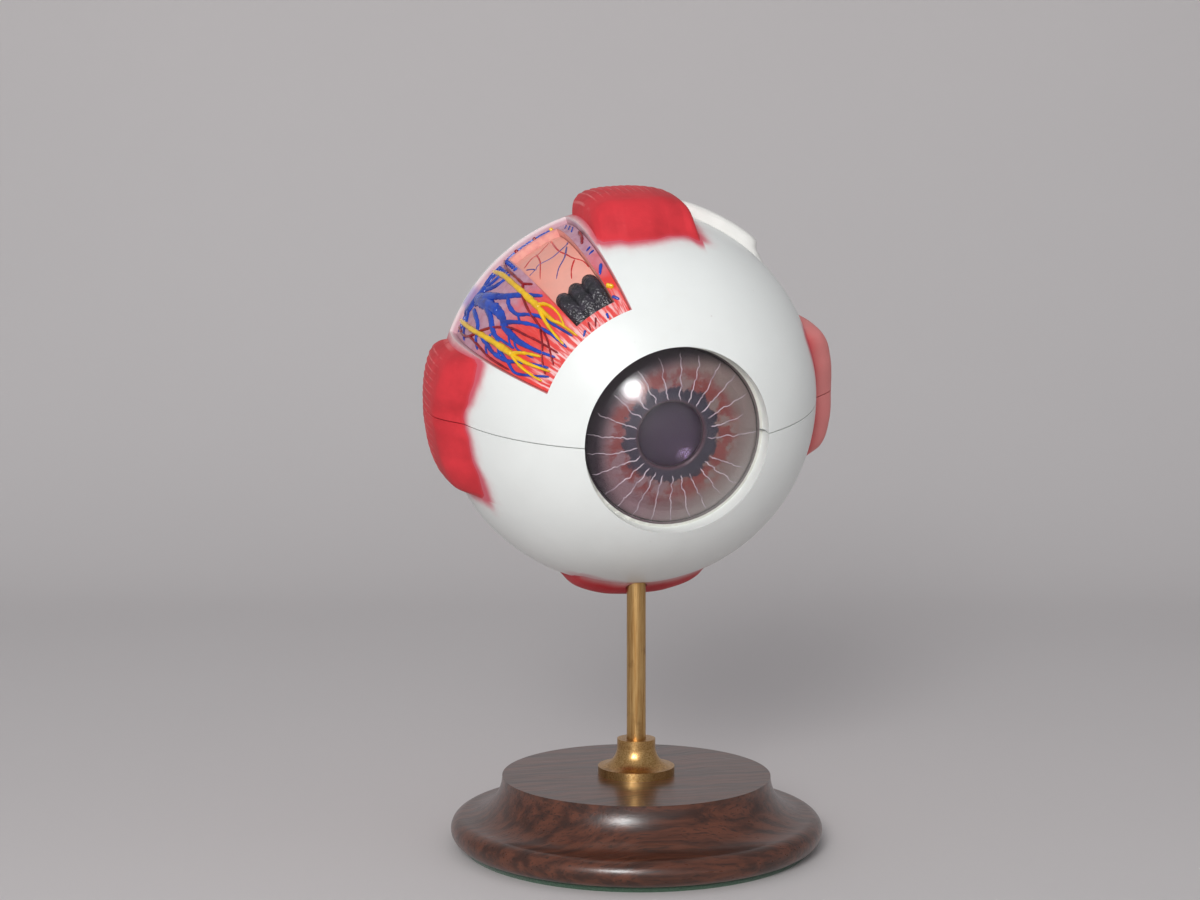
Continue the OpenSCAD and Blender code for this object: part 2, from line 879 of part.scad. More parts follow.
module ciliary_arteries() {
    color([0.58, 0.10, 0.12])
    eye_place() difference() {
        for (route = artery_routes)
            relief(layer_r, route, artery_w, artery_w * 0.7, artery_h);
        vein_relief(bond);
        nerve_relief(bond);
    }
}

// ---- Pieces that come out ----

module cornea() {
    color([0.85, 0.90, 0.92, 0.4])
    eye_place() rotate_extrude() {
        difference() {
            translate([0, dome_centre_z]) circle(r = dome_r);
            translate([0, dome_centre_z]) circle(r = dome_r - dome_t);
            translate([-far, dome_foot_z - far]) square([2 * far, far]);
            translate([-far, 0]) square([far, far]);
        }
        translate([front_r - dome_t, skirt_z]) square([dome_t, skirt_h]);
    }
}

module iris() {
    color([0.45, 0.38, 0.42])
    eye_place() rotate_extrude() {
        translate([pupil_r, iris_back_z]) square([front_r - pupil_r, iris_t]);
        translate([pupil_r, iris_front_z]) square([collarette_r - pupil_r, collarette_h]);
    }
}

module lens() {
    color([0.90, 0.92, 0.90, 0.4])
    eye_place() {
        intersection() {
            translate([0, 0, lens_front_c]) sphere(r = lens_front_r);
            translate([0, 0, lens_edge_z]) cylinder(r = lens_r, h = far);
        }
        translate([0, 0, lens_rear_z]) cylinder(r = lens_r, h = lens_edge);
        intersection() {
            translate([0, 0, lens_back_c]) sphere(r = lens_back_r);
            translate([0, 0, lens_rear_z - far]) cylinder(r = lens_r, h = far);
        }
    }
}

// Vitreous body's outline, drawn in by a wall's thickness
module vitreous_shape(wall) {
    difference() {
        sphere(r = vitreous_r - wall);
        translate([-far, -far, vitreous_front_z - wall]) cube([2 * far, 2 * far, far]);
        translate([0, 0, lens_back_c]) sphere(r = lens_back_r + fit + wall);
    }
}

module vitreous_body() {
    color([0.88, 0.92, 0.94, 0.3])
    eye_place() difference() {
        vitreous_shape(0);
        vitreous_shape(vitreous_t);
    }
}

base();
base_felt();
base_weight();
washer();
nut();
ferrule();
rod();
rod_socket();
sclera_lower();
choroid_lower();
retina_lower();
ciliary_lower();
medial_rectus_lower();
lateral_rectus_lower();
inferior_rectus();
inferior_oblique();
optic_nerve_lower();
optic_sheath_lower();
seam_pin_right();
seam_pin_left();
seam_pin_back();
sclera_upper();
choroid_upper();
retina_upper();
ciliary_upper();
medial_rectus_upper();
lateral_rectus_upper();
superior_rectus();
superior_oblique_tendon();
optic_nerve_upper();
optic_sheath_upper();
pigment_pleats();
vortex_veins();
ciliary_nerves();
ciliary_arteries();
cornea();
iris();
lens();
vitreous_body();
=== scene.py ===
"""Finished look of a take-apart eye anatomy model on its brass rod and turned base.

The eye is drawn in its own frame: its centre at the origin, +Z along the gaze, +Y towards the
top of the eye and +X towards the viewer's right. A place on the ball is a polar angle from the
gaze and an azimuth, which is 0 at the viewer's right and 90 at the top.
"""

import math
from collections import namedtuple

import bmesh
import bpy
from mathutils import Matrix, Vector, noise


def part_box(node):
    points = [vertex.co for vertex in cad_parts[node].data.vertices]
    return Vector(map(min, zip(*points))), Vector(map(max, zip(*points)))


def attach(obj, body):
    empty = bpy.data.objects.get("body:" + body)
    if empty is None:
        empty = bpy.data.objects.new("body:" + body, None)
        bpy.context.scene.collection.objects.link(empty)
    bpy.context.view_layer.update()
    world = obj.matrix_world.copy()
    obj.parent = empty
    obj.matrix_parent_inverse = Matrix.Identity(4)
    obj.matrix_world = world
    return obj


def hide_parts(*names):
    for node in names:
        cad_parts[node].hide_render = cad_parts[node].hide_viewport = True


bl_info = {
    "name": "Eye Anatomy Model",
    "version": (1, 0, 0),
    "blender": (4, 5, 0),
    "location": "3D View > Sidebar > Eye Model",
    "description": "Builds the painted shells, muscles, vessels and clear parts of a model eye",
    "category": "Object",
}

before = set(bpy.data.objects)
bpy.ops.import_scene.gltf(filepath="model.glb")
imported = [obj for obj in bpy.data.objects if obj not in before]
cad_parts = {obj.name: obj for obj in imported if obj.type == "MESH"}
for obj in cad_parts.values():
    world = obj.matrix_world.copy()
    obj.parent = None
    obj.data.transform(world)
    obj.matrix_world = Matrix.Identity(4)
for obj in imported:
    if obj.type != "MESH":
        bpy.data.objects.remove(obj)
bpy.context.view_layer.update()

MM = 0.001
# Room between two glued layers, and between the upper and the lower half
BOND = 0.15 * MM
SEAM_GAP = 0.3 * MM
# Points closer than this are one point
WELD = 1e-6
GAZE_TILT = math.radians(13.25)
GAZE_ROLL = math.radians(3.75)
# Polar angle of the optic nerve, on the side of azimuth 180
NERVE_POLAR = 180 - 15


def ball_place():
    """Centre and radius of the ball, measured on the two halves of the white shell."""
    low_a, high_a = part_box("sclera_lower")
    low_b, high_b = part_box("sclera_upper")
    radius = (max(high_a.x, high_b.x) - min(low_a.x, low_b.x)) / 2
    back = max(high_a.y, high_b.y) - radius
    height = (min(low_a.z, low_b.z) + max(high_a.z, high_b.z)) / 2
    return Vector((0, back, height)), radius


BALL_CENTRE, BALL_R = ball_place()
EYE = Matrix.Translation(BALL_CENTRE) @ Matrix.Rotation(
    math.radians(90) + GAZE_TILT, 4, "X") @ Matrix.Rotation(GAZE_ROLL, 4, "Z")


def screen_colour(red, green, blue):
    """A colour given as 0 to 255 on a screen, in the linear values that a shader takes."""
    values = []
    for part in (red, green, blue):
        share = part / 255
        values.append(share / 12.92 if share <= 0.04045 else ((share + 0.055) / 1.055) ** 2.4)
    return tuple(values)


# ---- Places painted and modelled ----

# Straight muscles: azimuth of the middle, polar angles of the front and back ends, width and
# thickness in millimetres, degrees over which one rises, and how far its front edge lies back
# in degrees, at places across the muscle from -1 to 1
Muscle = namedtuple("Muscle", "azimuth front back width thickness rise edge")
MUSCLES = {
    "superior": Muscle(89.0, 65.5, 104.0, 32.5, 6.6, 14.0, [
        (-1.0, 4.0), (-0.93, 1.0), (-0.7, 3.0), (-0.4, 2.2), (0.0, 0.2), (0.45, 0.0),
        (0.65, 1.6), (0.9, 2.2), (1.0, 4.0)]),
    "medial": Muscle(182.2, 66.5, 103.0, 44.2, 5.0, 13.0, [
        (-1.0, 2.4), (-0.93, 0.8), (-0.75, 0.8), (-0.45, 2.6), (-0.2, 5.0), (-0.08, 4.2),
        (0.12, 2.4), (0.37, 2.0), (0.62, 0.2), (0.9, 0.6), (1.0, 2.4)]),
    "lateral": Muscle(1.0, 66.5, 104.0, 43.0, 6.4, 11.0, [
        (-1.0, 2.6), (-0.85, 0.6), (-0.5, 2.0), (0.0, 3.6), (0.5, 2.0), (0.85, 0.5),
        (1.0, 2.6)]),
    "inferior": Muscle(268.0, 61.5, 104.0, 43.0, 3.4, 12.0, [
        (-1.0, 4.0), (-0.9, 1.2), (-0.5, 1.6), (0.0, 2.4), (0.5, 1.6), (0.9, 1.0),
        (1.0, 4.0)]),
}

# Polar angles and azimuths of the window and of the recess in it, and the space round a layer
# that stands up into them
WINDOW = (42.0, 101.0, 107.0, 158.5)
RECESS = (47.5, 98.5, 111.25, 129.25)
PAD_GAP = 0.25

TRUNK = [
    ([(99, 150), (96, 148), (95, 146), (94, 143), (94, 140)], 2.4, 2.3),
    ([(95, 145), (89, 143.2), (84, 141.4), (79, 139.4)], 2.2, 1.0),
    ([(93, 145), (86, 144.2), (80, 143.6), (75, 143.6)], 2.3, 1.5),
]
VEINS = [
    ([(95, 142), (98, 138), (98.5, 135), (98, 133)], 1.0, 0.4),
    ([(94, 141), (95, 138), (94.5, 135.5), (94, 133)], 0.9, 0.4),
    ([(93, 141), (91, 138), (90, 135.5), (90, 133)], 0.9, 0.4),
    ([(92, 141), (87, 138.5), (85, 135.5), (84, 133)], 1.0, 0.45),
    ([(91, 143), (79, 139.4), (73, 136), (68, 133), (64, 130.4)], 1.3, 0.6),
    ([(76, 138), (72, 140), (67, 140.4), (63, 138), (59, 136), (54, 135), (46, 133)],
     0.75, 0.4),
    ([(80, 143), (72, 144), (68, 146), (62, 147), (58, 147), (52, 146), (46, 144)], 1.7, 0.4),
    ([(86, 144), (78, 146), (74, 148), (70, 150), (67, 151)], 1.3, 0.5),
    ([(91, 148), (83, 150), (80, 152), (78, 155), (75, 157)], 0.9, 0.4),
    ([(97, 149), (92, 152), (90, 155), (86, 157.4)], 0.9, 0.4),
    ([(98, 150), (97, 153), (96, 157)], 0.6, 0.35),
    ([(97, 148), (94, 152), (94, 156)], 0.55, 0.35),
    ([(70, 145.4), (66, 143), (62, 141), (57, 139), (51, 138), (45, 138)], 0.8, 0.4),
    ([(75, 148), (70, 150), (66, 150), (60, 150)], 0.9, 0.4),
    ([(76, 153), (71, 154), (67, 155), (61, 155), (56, 153), (51, 151), (46, 149)],
     0.8, 0.4),
    ([(66, 153), (60, 155), (56, 157), (52, 156), (48, 154), (44.5, 152)], 0.55, 0.35),
    ([(67, 140), (64, 141.5), (62, 141)], 0.4, 0.3),
    ([(66, 146), (63, 149), (61, 150)], 0.4, 0.3),
    ([(62, 147), (59, 149.5), (52, 149)], 0.4, 0.3),
    ([(72, 150), (72, 154), (69, 157)], 0.5, 0.3),
    ([(68, 151), (66, 153), (64, 155)], 0.4, 0.3),
    ([(99.6, 130), (99.8, 124), (99.7, 118), (99.5, 113)], 0.4, 0.28),
]
# Short veins like a comb on both sides of the artery behind the recess: polar angles
COMB = (97.6, 95.4, 93.2, 91.0, 88.8, 86.6, 84.2)
NERVES = [
    ([(99.5, 135.4), (93, 134.8), (87, 134.2), (74, 134), (67, 134), (61, 134)], 0.8, 1.15),
    ([(99.5, 153.6), (90, 153.3), (83, 153), (73, 152.2), (65, 152), (59, 152)], 0.75, 1.1),
    ([(62, 134), (55, 134), (52, 133), (45, 131.6)], 0.8, 0.35),
    ([(62, 134), (56, 136), (52, 137), (46, 138)], 0.75, 0.35),
    ([(63, 133.6), (60.5, 131.6), (57.5, 130.8), (54, 131), (50, 132.6)], 0.65, 0.3),
    ([(60, 152), (57, 150), (54, 148.6), (50, 147)], 0.75, 0.4),
    ([(60, 152), (54, 152), (49, 151), (45, 150)], 0.75, 0.35),
    ([(60, 152), (55, 154), (50, 154.8), (46, 155)], 0.65, 0.3),
]
ARTERIES = [
    ([(99.8, 130.4), (96, 131.4), (90, 132), (80, 132), (74.5, 132)], 0.55, 0.5),
    ([(74.5, 132), (72, 133.6), (70, 135), (64, 137), (59, 138), (55, 139), (51, 141),
      (45, 147)], 0.5, 0.3),
    ([(75, 132.2), (73, 131.2), (71, 130)], 0.5, 0.4),
    ([(98, 155.4), (93, 156), (88, 156.2), (83, 155), (77, 151), (72, 148), (65, 145),
      (59, 144), (54, 143), (46, 142)], 0.55, 0.35),
    ([(84, 155.2), (79, 155.4), (74, 156), (67, 157), (58, 157.2)], 0.5, 0.35),
    ([(56, 139), (52, 143), (49, 148), (46, 152)], 0.3, 0.25),
    ([(99.6, 126.4), (99.2, 125.2)], 0.7, 0.5),
    ([(99.4, 119.4), (99.2, 118.4)], 0.6, 0.4),
]
STRIP_VEINS = [
    ([(72, 108), (70.4, 110)], 0.4, 0.25),
    ([(69.6, 107.8), (68.4, 110)], 0.4, 0.25),
    ([(62.7, 108.2), (58.4, 110.8)], 0.65, 0.3),
    ([(49.6, 111), (47.6, 109)], 0.6, 0.4),
    ([(93, 108), (89, 109.6)], 0.35, 0.25),
    ([(90, 107.8), (85.6, 109.6)], 0.3, 0.25),
    ([(96, 108.4), (92, 110)], 0.3, 0.2),
    ([(45.4, 116.4), (43.6, 117)], 0.5, 0.3),
    ([(44.8, 127.6), (43.6, 130)], 0.5, 0.3),
]
STRIP_ARTERIES = [
    ([(83, 107.8), (79, 108.3), (75, 109.7)], 0.65, 0.45),
    ([(46, 121), (43.5, 123.6)], 0.4, 0.25),
    ([(46.2, 124.6), (43.6, 126)], 0.35, 0.2),
]
STRIP_NERVES = [
    ([(53.8, 110.9), (52.2, 108.7)], 0.8, 0.7),
    ([(99.5, 113.4), (99.2, 112.2)], 0.5, 0.4),
]
RETINA_ARTERIES = [
    [(97, 115), (84, 116), (78, 115), (74, 114), (70, 112), (66, 111.7)],
    [(73, 114), (69, 117), (65, 119)],
    [(91, 122), (83, 123), (74, 127)],
    [(87, 128), (90, 124), (90, 121), (95, 116)],
]
RETINA_VEINS = [
    [(86, 111.8), (84, 113), (81, 119), (82, 124), (80, 126)],
    [(83, 113), (77, 116), (73, 120), (69, 123)],
    [(85, 128), (81, 126), (80, 128.6)],
]

# White lines of the iris: inner radius, its angle, outer radius, its angle
IRIS_LINES = [
    (10.6, 77, 24.7, 84), (10.6, 62, 24.9, 70), (11.0, 48, 25.7, 54), (11.0, 34, 26.2, 41),
    (12.0, 21, 25.5, 25), (12.4, 6, 22.8, 11), (11.4, 351, 26.8, 358), (14.1, 328, 25.6, 332),
    (13.7, 319, 26.6, 321), (14.3, 310, 24.5, 308), (13.6, 295, 26.4, 295),
    (13.0, 283, 26.6, 283), (12.6, 272, 26.7, 270), (12.4, 258, 26.8, 257),
    (12.0, 247, 26.7, 244), (11.6, 236, 26.6, 231), (11.4, 224, 26.3, 220),
    (11.0, 212, 26.1, 203), (10.8, 197, 26.0, 189), (10.8, 181, 26.0, 175),
    (10.8, 165, 24.0, 160), (10.8, 148, 22.0, 143), (10.8, 131, 22.0, 129),
    (10.8, 115, 22.5, 116), (10.8, 96, 24.0, 99),
]


# ---- Settings ----


class EyeSizes(bpy.types.PropertyGroup):
    """Sizes of the painted and modelled detail."""

    shell_wall: bpy.props.FloatProperty(
        name="Shell wall", description="Wall of the white shell", default=5 * MM,
        min=3 * MM, max=7 * MM, unit="LENGTH")
    opening_radius: bpy.props.FloatProperty(
        name="Front opening", description="Radius of the round opening", default=28.3 * MM,
        min=27 * MM, max=29 * MM, unit="LENGTH")
    window_depth: bpy.props.FloatProperty(
        name="Window depth", description="Depth of the vascular layer seen in the window",
        default=2.2 * MM, min=1.9 * MM, max=2.6 * MM, unit="LENGTH")
    recess_depth: bpy.props.FloatProperty(
        name="Recess depth", description="Depth of the recess below that layer",
        default=2.6 * MM, min=2.3 * MM, max=2.8 * MM, unit="LENGTH")
    choroid_wall: bpy.props.FloatProperty(
        name="Vascular wall", description="Wall of the vascular layer", default=2.6 * MM,
        min=2 * MM, max=3 * MM, unit="LENGTH")
    retina_wall: bpy.props.FloatProperty(
        name="Retina wall", description="Wall of the retina layer", default=1.2 * MM,
        min=1 * MM, max=1.4 * MM, unit="LENGTH")
    edge_round: bpy.props.FloatProperty(
        name="Edge rounding", description="Rounding of the shells' cut edges",
        default=0.22 * MM, min=0.05 * MM, max=0.6 * MM, unit="LENGTH")
    groove_pitch: bpy.props.FloatProperty(
        name="Groove pitch", description="Distance between a muscle's grooves",
        default=2.2 * MM, min=1 * MM, max=3 * MM, unit="LENGTH")
    groove_depth: bpy.props.FloatProperty(
        name="Groove depth", description="Depth of a muscle's grooves", default=0.22 * MM,
        min=0, max=0.5 * MM, unit="LENGTH")
    fade_width: bpy.props.FloatProperty(
        name="Airbrush width", description="Width of the pink fade round the muscles",
        default=9 * MM, min=2 * MM, max=14 * MM, unit="LENGTH")
    vein_height: bpy.props.FloatProperty(
        name="Vein height", description="Height of the blue veins", default=0.75 * MM,
        min=0.4 * MM, max=1.2 * MM, unit="LENGTH")
    pleat_height: bpy.props.FloatProperty(
        name="Pleat height", description="Height of the black pleats", default=2.1 * MM,
        min=1 * MM, max=2.4 * MM, unit="LENGTH")
    pupil_radius: bpy.props.FloatProperty(
        name="Pupil", description="Radius of the pupil", default=10 * MM, min=8 * MM,
        max=12 * MM, unit="LENGTH")
    iris_line_width: bpy.props.FloatProperty(
        name="Iris line width", description="Half width of the white lines on the iris",
        default=0.17 * MM, min=0.08 * MM, max=0.4 * MM, unit="LENGTH")


def colour_setting(label, use, red, green, blue):
    """Setting for one of the model's colours."""
    return bpy.props.FloatVectorProperty(
        name=label, description=use, subtype="COLOR", size=3, min=0, max=1,
        default=screen_colour(red, green, blue))


class EyeColours(bpy.types.PropertyGroup):
    """Colours of the paints and of the stage."""

    white: colour_setting("White", "White of the ball", 236, 239, 236)
    muscle: colour_setting("Muscle red", "Red of the muscles", 216, 58, 66)
    # Muscle pale: pale lines painted on the crests of the muscles' grooves
    muscle_pale: colour_setting("Muscle pale", "Pale lines on the muscle groove crests", 226, 120, 120)
    fade: colour_setting("Airbrush pink", "Airbrushed edge of the muscles", 214, 92, 108)
    lilac: colour_setting("Lilac", "Back of the vascular layer", 196, 152, 170)
    choroid_red: colour_setting("Vascular red", "Front of the vascular layer", 226, 66, 62)
    blush: colour_setting("Pale pink", "Streaks and cut edges", 236, 196, 200)
    peach: colour_setting("Peach", "Retina seen in the recess", 240, 172, 156)
    vein: colour_setting("Vein blue", "Vortex vein and its branches", 24, 74, 186)
    nerve: colour_setting("Nerve yellow", "Ciliary nerves", 246, 200, 28)
    artery: colour_setting("Artery red", "Ciliary arteries", 152, 26, 38)
    black: colour_setting("Pleat black", "Pigmented pleats", 34, 33, 38)
    # Iris taupe is partly the iris's own colour and partly a painted reflection of the room on
    # its right side
    taupe: colour_setting("Iris taupe", "Outer zone of the iris", 120, 104, 98)
    rust: colour_setting("Iris rust", "Red patches of the iris", 122, 46, 40)
    slate: colour_setting("Iris slate", "Inner ring of the iris", 36, 36, 54)
    # Iris plum is painted shade on the iris's rim
    plum: colour_setting("Iris plum", "Dark rim of the iris", 34, 22, 34)
    tendon: colour_setting("Tendon white", "Tendon and nerve sheath", 234, 233, 228)
    optic: colour_setting("Nerve cream", "Cut end of the optic nerve", 236, 214, 140)
    brass: colour_setting("Brass", "Rod, ferrule, pins and nut", 214, 176, 118)
    steel: colour_setting("Steel", "Weight and washer", 176, 178, 182)
    wood: colour_setting("Wood", "Turned base", 96, 52, 34)
    felt: colour_setting("Felt", "Felt under the base", 58, 92, 70)
    backdrop: colour_setting("Backdrop", "Floor and backdrop", 219, 215, 214)


# ---- Materials ----


class Wire:
    """A value in a material, written in sums as a number is."""

    def __init__(self, tree, socket):
        self.tree = tree
        self.socket = socket

    def work(self, operation, *others):
        node = self.tree.nodes.new("ShaderNodeMath")
        node.operation = operation
        for place, value in enumerate((self,) + others):
            join(self.tree, value, node.inputs[place])
        return Wire(self.tree, node.outputs[0])

    def __add__(self, other):
        return self.work("ADD", other)

    def __sub__(self, other):
        return self.work("SUBTRACT", other)

    def __mul__(self, other):
        return self.work("MULTIPLY", other)

    def __truediv__(self, other):
        return self.work("DIVIDE", other)

    def above(self, start, end):
        """0 below start, 1 above end, and smooth between them."""
        node = self.tree.nodes.new("ShaderNodeMapRange")
        node.interpolation_type = "SMOOTHSTEP"
        join(self.tree, self, node.inputs["Value"])
        node.inputs["From Min"].default_value = start
        node.inputs["From Max"].default_value = end
        return Wire(self.tree, node.outputs["Result"])

    def below(self, start, end):
        """1 below start, 0 above end, and smooth between them."""
        return self.above(start, end) * -1 + 1


def join(tree, value, socket):
    """Feeds a wire, or a fixed number or colour, into a socket."""
    if isinstance(value, Wire):
        tree.links.new(value.socket, socket)
    elif hasattr(value, "__len__") and socket.type == "RGBA":
        socket.default_value = (*value[:3], 1)
    else:
        socket.default_value = value


class Paint:
    """A material, its shader, and the patterns that feed the shader."""

    def __init__(self, name, roughness=0.4, on_eye=True, **fixed):
        self.material = bpy.data.materials.new(name)
        self.material.use_nodes = True
        self.tree = self.material.node_tree
        self.shader = self.tree.nodes["Principled BSDF"]
        self.shader.inputs["Roughness"].default_value = roughness
        for socket, value in fixed.items():
            self.shader.inputs[socket.replace("_", " ")].default_value = value
        place = self.tree.nodes.new("ShaderNodeTexCoord").outputs["Object"]
        if on_eye:
            turned = self.tree.nodes.new("ShaderNodeMapping")
            turned.vector_type = "TEXTURE"
            turned.inputs["Location"].default_value = BALL_CENTRE
            turned.inputs["Rotation"].default_value = EYE.to_euler()
            self.tree.links.new(place, turned.inputs["Vector"])
            place = turned.outputs["Vector"]
        self.place = Wire(self.tree, place)
        split = self.tree.nodes.new("ShaderNodeSeparateXYZ")
        join(self.tree, self.place, split.inputs[0])
        self.x = Wire(self.tree, split.outputs[0])
        self.y = Wire(self.tree, split.outputs[1])
        self.z = Wire(self.tree, split.outputs[2])

    def radius(self):
        """Distance from the ball's centre."""
        node = self.tree.nodes.new("ShaderNodeVectorMath")
        node.operation = "LENGTH"
        join(self.tree, self.place, node.inputs[0])
        return Wire(self.tree, node.outputs["Value"])

    def polar(self):
        """Polar angle on the ball, in degrees."""
        return (self.z / self.radius()).work("ARCCOSINE") * math.degrees(1)

    def azimuth(self):
        """Azimuth on the ball, in degrees from 0 to 360."""
        turn = self.y.work("ARCTAN2", self.x) * math.degrees(1)
        return (turn + 360).work("MODULO", 360)

    def noise(self, grain, detail=3.0, rough=0.55, stretch=(1, 1, 1), place=None):
        """Cloudy pattern from 0 to 1 with patches about one grain wide."""
        scale = self.tree.nodes.new("ShaderNodeVectorMath")
        scale.operation = "MULTIPLY"
        join(self.tree, place or self.place, scale.inputs[0])
        scale.inputs[1].default_value = [part / grain for part in stretch]
        node = self.tree.nodes.new("ShaderNodeTexNoise")
        node.inputs["Scale"].default_value = 1
        node.inputs["Detail"].default_value = detail
        node.inputs["Roughness"].default_value = rough
        self.tree.links.new(scale.outputs[0], node.inputs["Vector"])
        return Wire(self.tree, node.outputs["Fac"])

    def cells(self, grain):
        """Distance to the nearest of many scattered points, one grain apart."""
        node = self.tree.nodes.new("ShaderNodeTexVoronoi")
        node.inputs["Scale"].default_value = 1 / grain
        join(self.tree, self.place, node.inputs["Vector"])
        return Wire(self.tree, node.outputs["Distance"])

    def vector(self, *parts):
        """Three values as one place."""
        node = self.tree.nodes.new("ShaderNodeCombineXYZ")
        for place, value in enumerate(parts):
            join(self.tree, value, node.inputs[place])
        return Wire(self.tree, node.outputs[0])

    def mix(self, amount, first, second):
        """The first colour where the amount is 0 and the second where it is 1."""
        node = self.tree.nodes.new("ShaderNodeMix")
        node.data_type = "RGBA"
        join(self.tree, amount, node.inputs[0])
        join(self.tree, first, node.inputs[6])
        join(self.tree, second, node.inputs[7])
        return Wire(self.tree, node.outputs[2])

    def feed(self, socket, value):
        join(self.tree, value, self.shader.inputs[socket])

    def bump(self, height, distance, strength=1.0):
        """Bump whose full height is a distance in metres."""
        node = self.tree.nodes.new("ShaderNodeBump")
        node.inputs["Strength"].default_value = strength
        node.inputs["Distance"].default_value = distance
        join(self.tree, height, node.inputs["Height"])
        self.tree.links.new(node.outputs[0], self.shader.inputs["Normal"])

    def rule(self, value, points, low, high):
        """Reads a listed curve of (place from -1 to 1, height) points."""
        node = self.tree.nodes.new("ShaderNodeFloatCurve")
        curve = node.mapping.curves[0]
        stops = [((at + 1) / 2, (lift - low) / (high - low)) for at, lift in points]
        curve.points[0].location = stops[0]
        curve.points[1].location = stops[-1]
        for stop in stops[1:-1]:
            curve.points.new(*stop)
        node.mapping.update()
        join(self.tree, (value + 1) / 2, node.inputs["Value"])
        return Wire(self.tree, node.outputs[0]) * (high - low) + low


def hand_paint(paint, colour, spread=0.06, grain=14 * MM, roughness=0.38, relief=0.02 * MM):
    """Hand-brushed paint: uneven tone, uneven gloss and faint brush relief."""
    cloud = paint.noise(grain)
    fine = paint.noise(grain / 9, 4)
    dark = tuple(part * (1 - spread * 2) for part in colour)
    pale = tuple(min(1, part * (1 + spread)) for part in colour)
    tone = paint.mix(cloud.above(0.3, 0.7), dark, pale)
    paint.feed("Roughness", fine * 0.16 + (roughness - 0.08))
    paint.bump(fine, relief)
    return tone


def muscle_fade(paint, width, polar):
    """Airbrushed share, from 0 to 1, of the ball's paint round the muscles' feet. It has no rear
    edge, so it runs on over the back of the ball behind each muscle."""
    total = None
    wisp = paint.noise(5 * MM, 4, 0.6)
    for key, muscle in MUSCLES.items():
        turn = math.radians(muscle.azimuth)
        across = paint.y * math.cos(turn) - paint.x * math.sin(turn)
        along = paint.x * math.cos(turn) + paint.y * math.sin(turn)
        half = muscle.width / 2 * MM
        side = (across.work("ABSOLUTE") - half).work("MAXIMUM", 0)
        place = (across / half).work("MAXIMUM", -1).work("MINIMUM", 1)
        seat = paint.rule(place, muscle.edge, -2, 8)
        ahead = ((seat + muscle.front - polar) * math.radians(BALL_R)).work("MAXIMUM", 0)
        away = (side * side + ahead * ahead).work("SQRT")
        strong = (away - wisp * (2 * MM)).below(-1.2 * MM, 3 * MM) * 0.62
        wide = (away / (wisp * width + width * 0.3)).work("MINIMUM", 1) * -1 + 1
        share = (strong + wide * wide * 0.38) * along.above(0, 4 * MM)
        if key == "inferior":
            share = share * 0.5
        total = share if total is None else total.work("MAXIMUM", share)
    return total


def white_paint(colours, sizes):
    """Satin white of the ball, with the pink airbrushed round each muscle."""
    paint = Paint("ball white paint", Specular_IOR_Level=0.4)
    tone = hand_paint(paint, colours.white, 0.012, 22 * MM, 0.34, 0.03 * MM)
    warm = paint.noise(9 * MM, 5, 0.7).above(0.55, 0.8) * 0.12
    tone = paint.mix(warm, tone, screen_colour(222, 214, 204))
    specks = paint.cells(7 * MM).below(0.03, 0.05) * paint.noise(30 * MM).above(0.5, 0.6)
    tone = paint.mix(specks * 0.25, tone, screen_colour(170, 150, 140))
    polar = paint.polar()
    fade = muscle_fade(paint, sizes.fade_width, polar)
    paint.feed("Base Color", paint.mix(fade, tone, colours.fade))
    return paint.material


def cut_wall_paint(colours):
    """Pink and lilac of the window's cut walls, whiter at the rim, with a stain of the vein."""
    paint = Paint("window wall paint", 0.4)
    cloud = paint.noise(6 * MM, 4)
    polar = paint.polar()
    azimuth = paint.azimuth()
    body = paint.mix(polar.above(62, 86), screen_colour(228, 158, 160),
                     screen_colour(210, 168, 178))
    body = paint.mix(cloud.above(0.45, 0.7) * 0.5, body, screen_colour(232, 196, 202))
    rim = paint.radius().above(BALL_R - 1.4 * MM, BALL_R - 0.3 * MM)
    body = paint.mix(rim * 0.85, body, screen_colour(240, 228, 228))
    stain = azimuth.above(141, 144) * azimuth.below(148, 151) * polar.above(99, 100.5)
    paint.feed("Base Color", paint.mix(stain * 0.4, body, colours.vein))
    paint.bump(cloud, 0.06 * MM)
    return paint.material


def bare_white():
    """Plain matt white inside the shell."""
    paint = Paint("inner white", 0.6)
    paint.feed("Base Color", hand_paint(paint, screen_colour(222, 221, 214), 0.03, 12 * MM, 0.6))
    return paint.material


def choroid_paint(colours):
    """Vascular layer: lilac at the back, red towards the front, pale streaks at its edge."""
    paint = Paint("vascular layer paint", 0.36)
    polar = paint.polar()
    azimuth = paint.azimuth()
    cloud = paint.noise(9 * MM, 3)
    fine = paint.noise(2.5 * MM, 4)
    streak = paint.noise(1, 3, 0.6, (1, 1, 1), paint.vector(polar / 9, azimuth / 1.6, 0))
    edge = polar + cloud * 22 + azimuth * -0.16
    red_share = edge.below(48, 66)
    violet = paint.mix(fine.above(0.35, 0.7), colours.lilac, screen_colour(184, 128, 146))
    tone = paint.mix(red_share, violet, colours.choroid_red)
    rose = streak.above(0.5, 0.62) * red_share
    tone = paint.mix(rose * 0.5, tone, screen_colour(232, 104, 100))
    pale = streak.above(0.44, 0.6) * polar.below(43, 55)
    tone = paint.mix(pale * 0.85, tone, screen_colour(244, 214, 214))
    hidden = polar.above(101.5, 103).work("MAXIMUM", azimuth.above(159, 160))
    hidden = hidden.work("MAXIMUM", azimuth.below(106.5, 107.5))
    tone = paint.mix(hidden, tone, screen_colour(150, 62, 54))
    paint.feed("Base Color", tone)
    paint.feed("Roughness", fine * 0.2 + 0.26)
    paint.bump(fine + streak * 0.5, 0.12 * MM)
    return paint.material


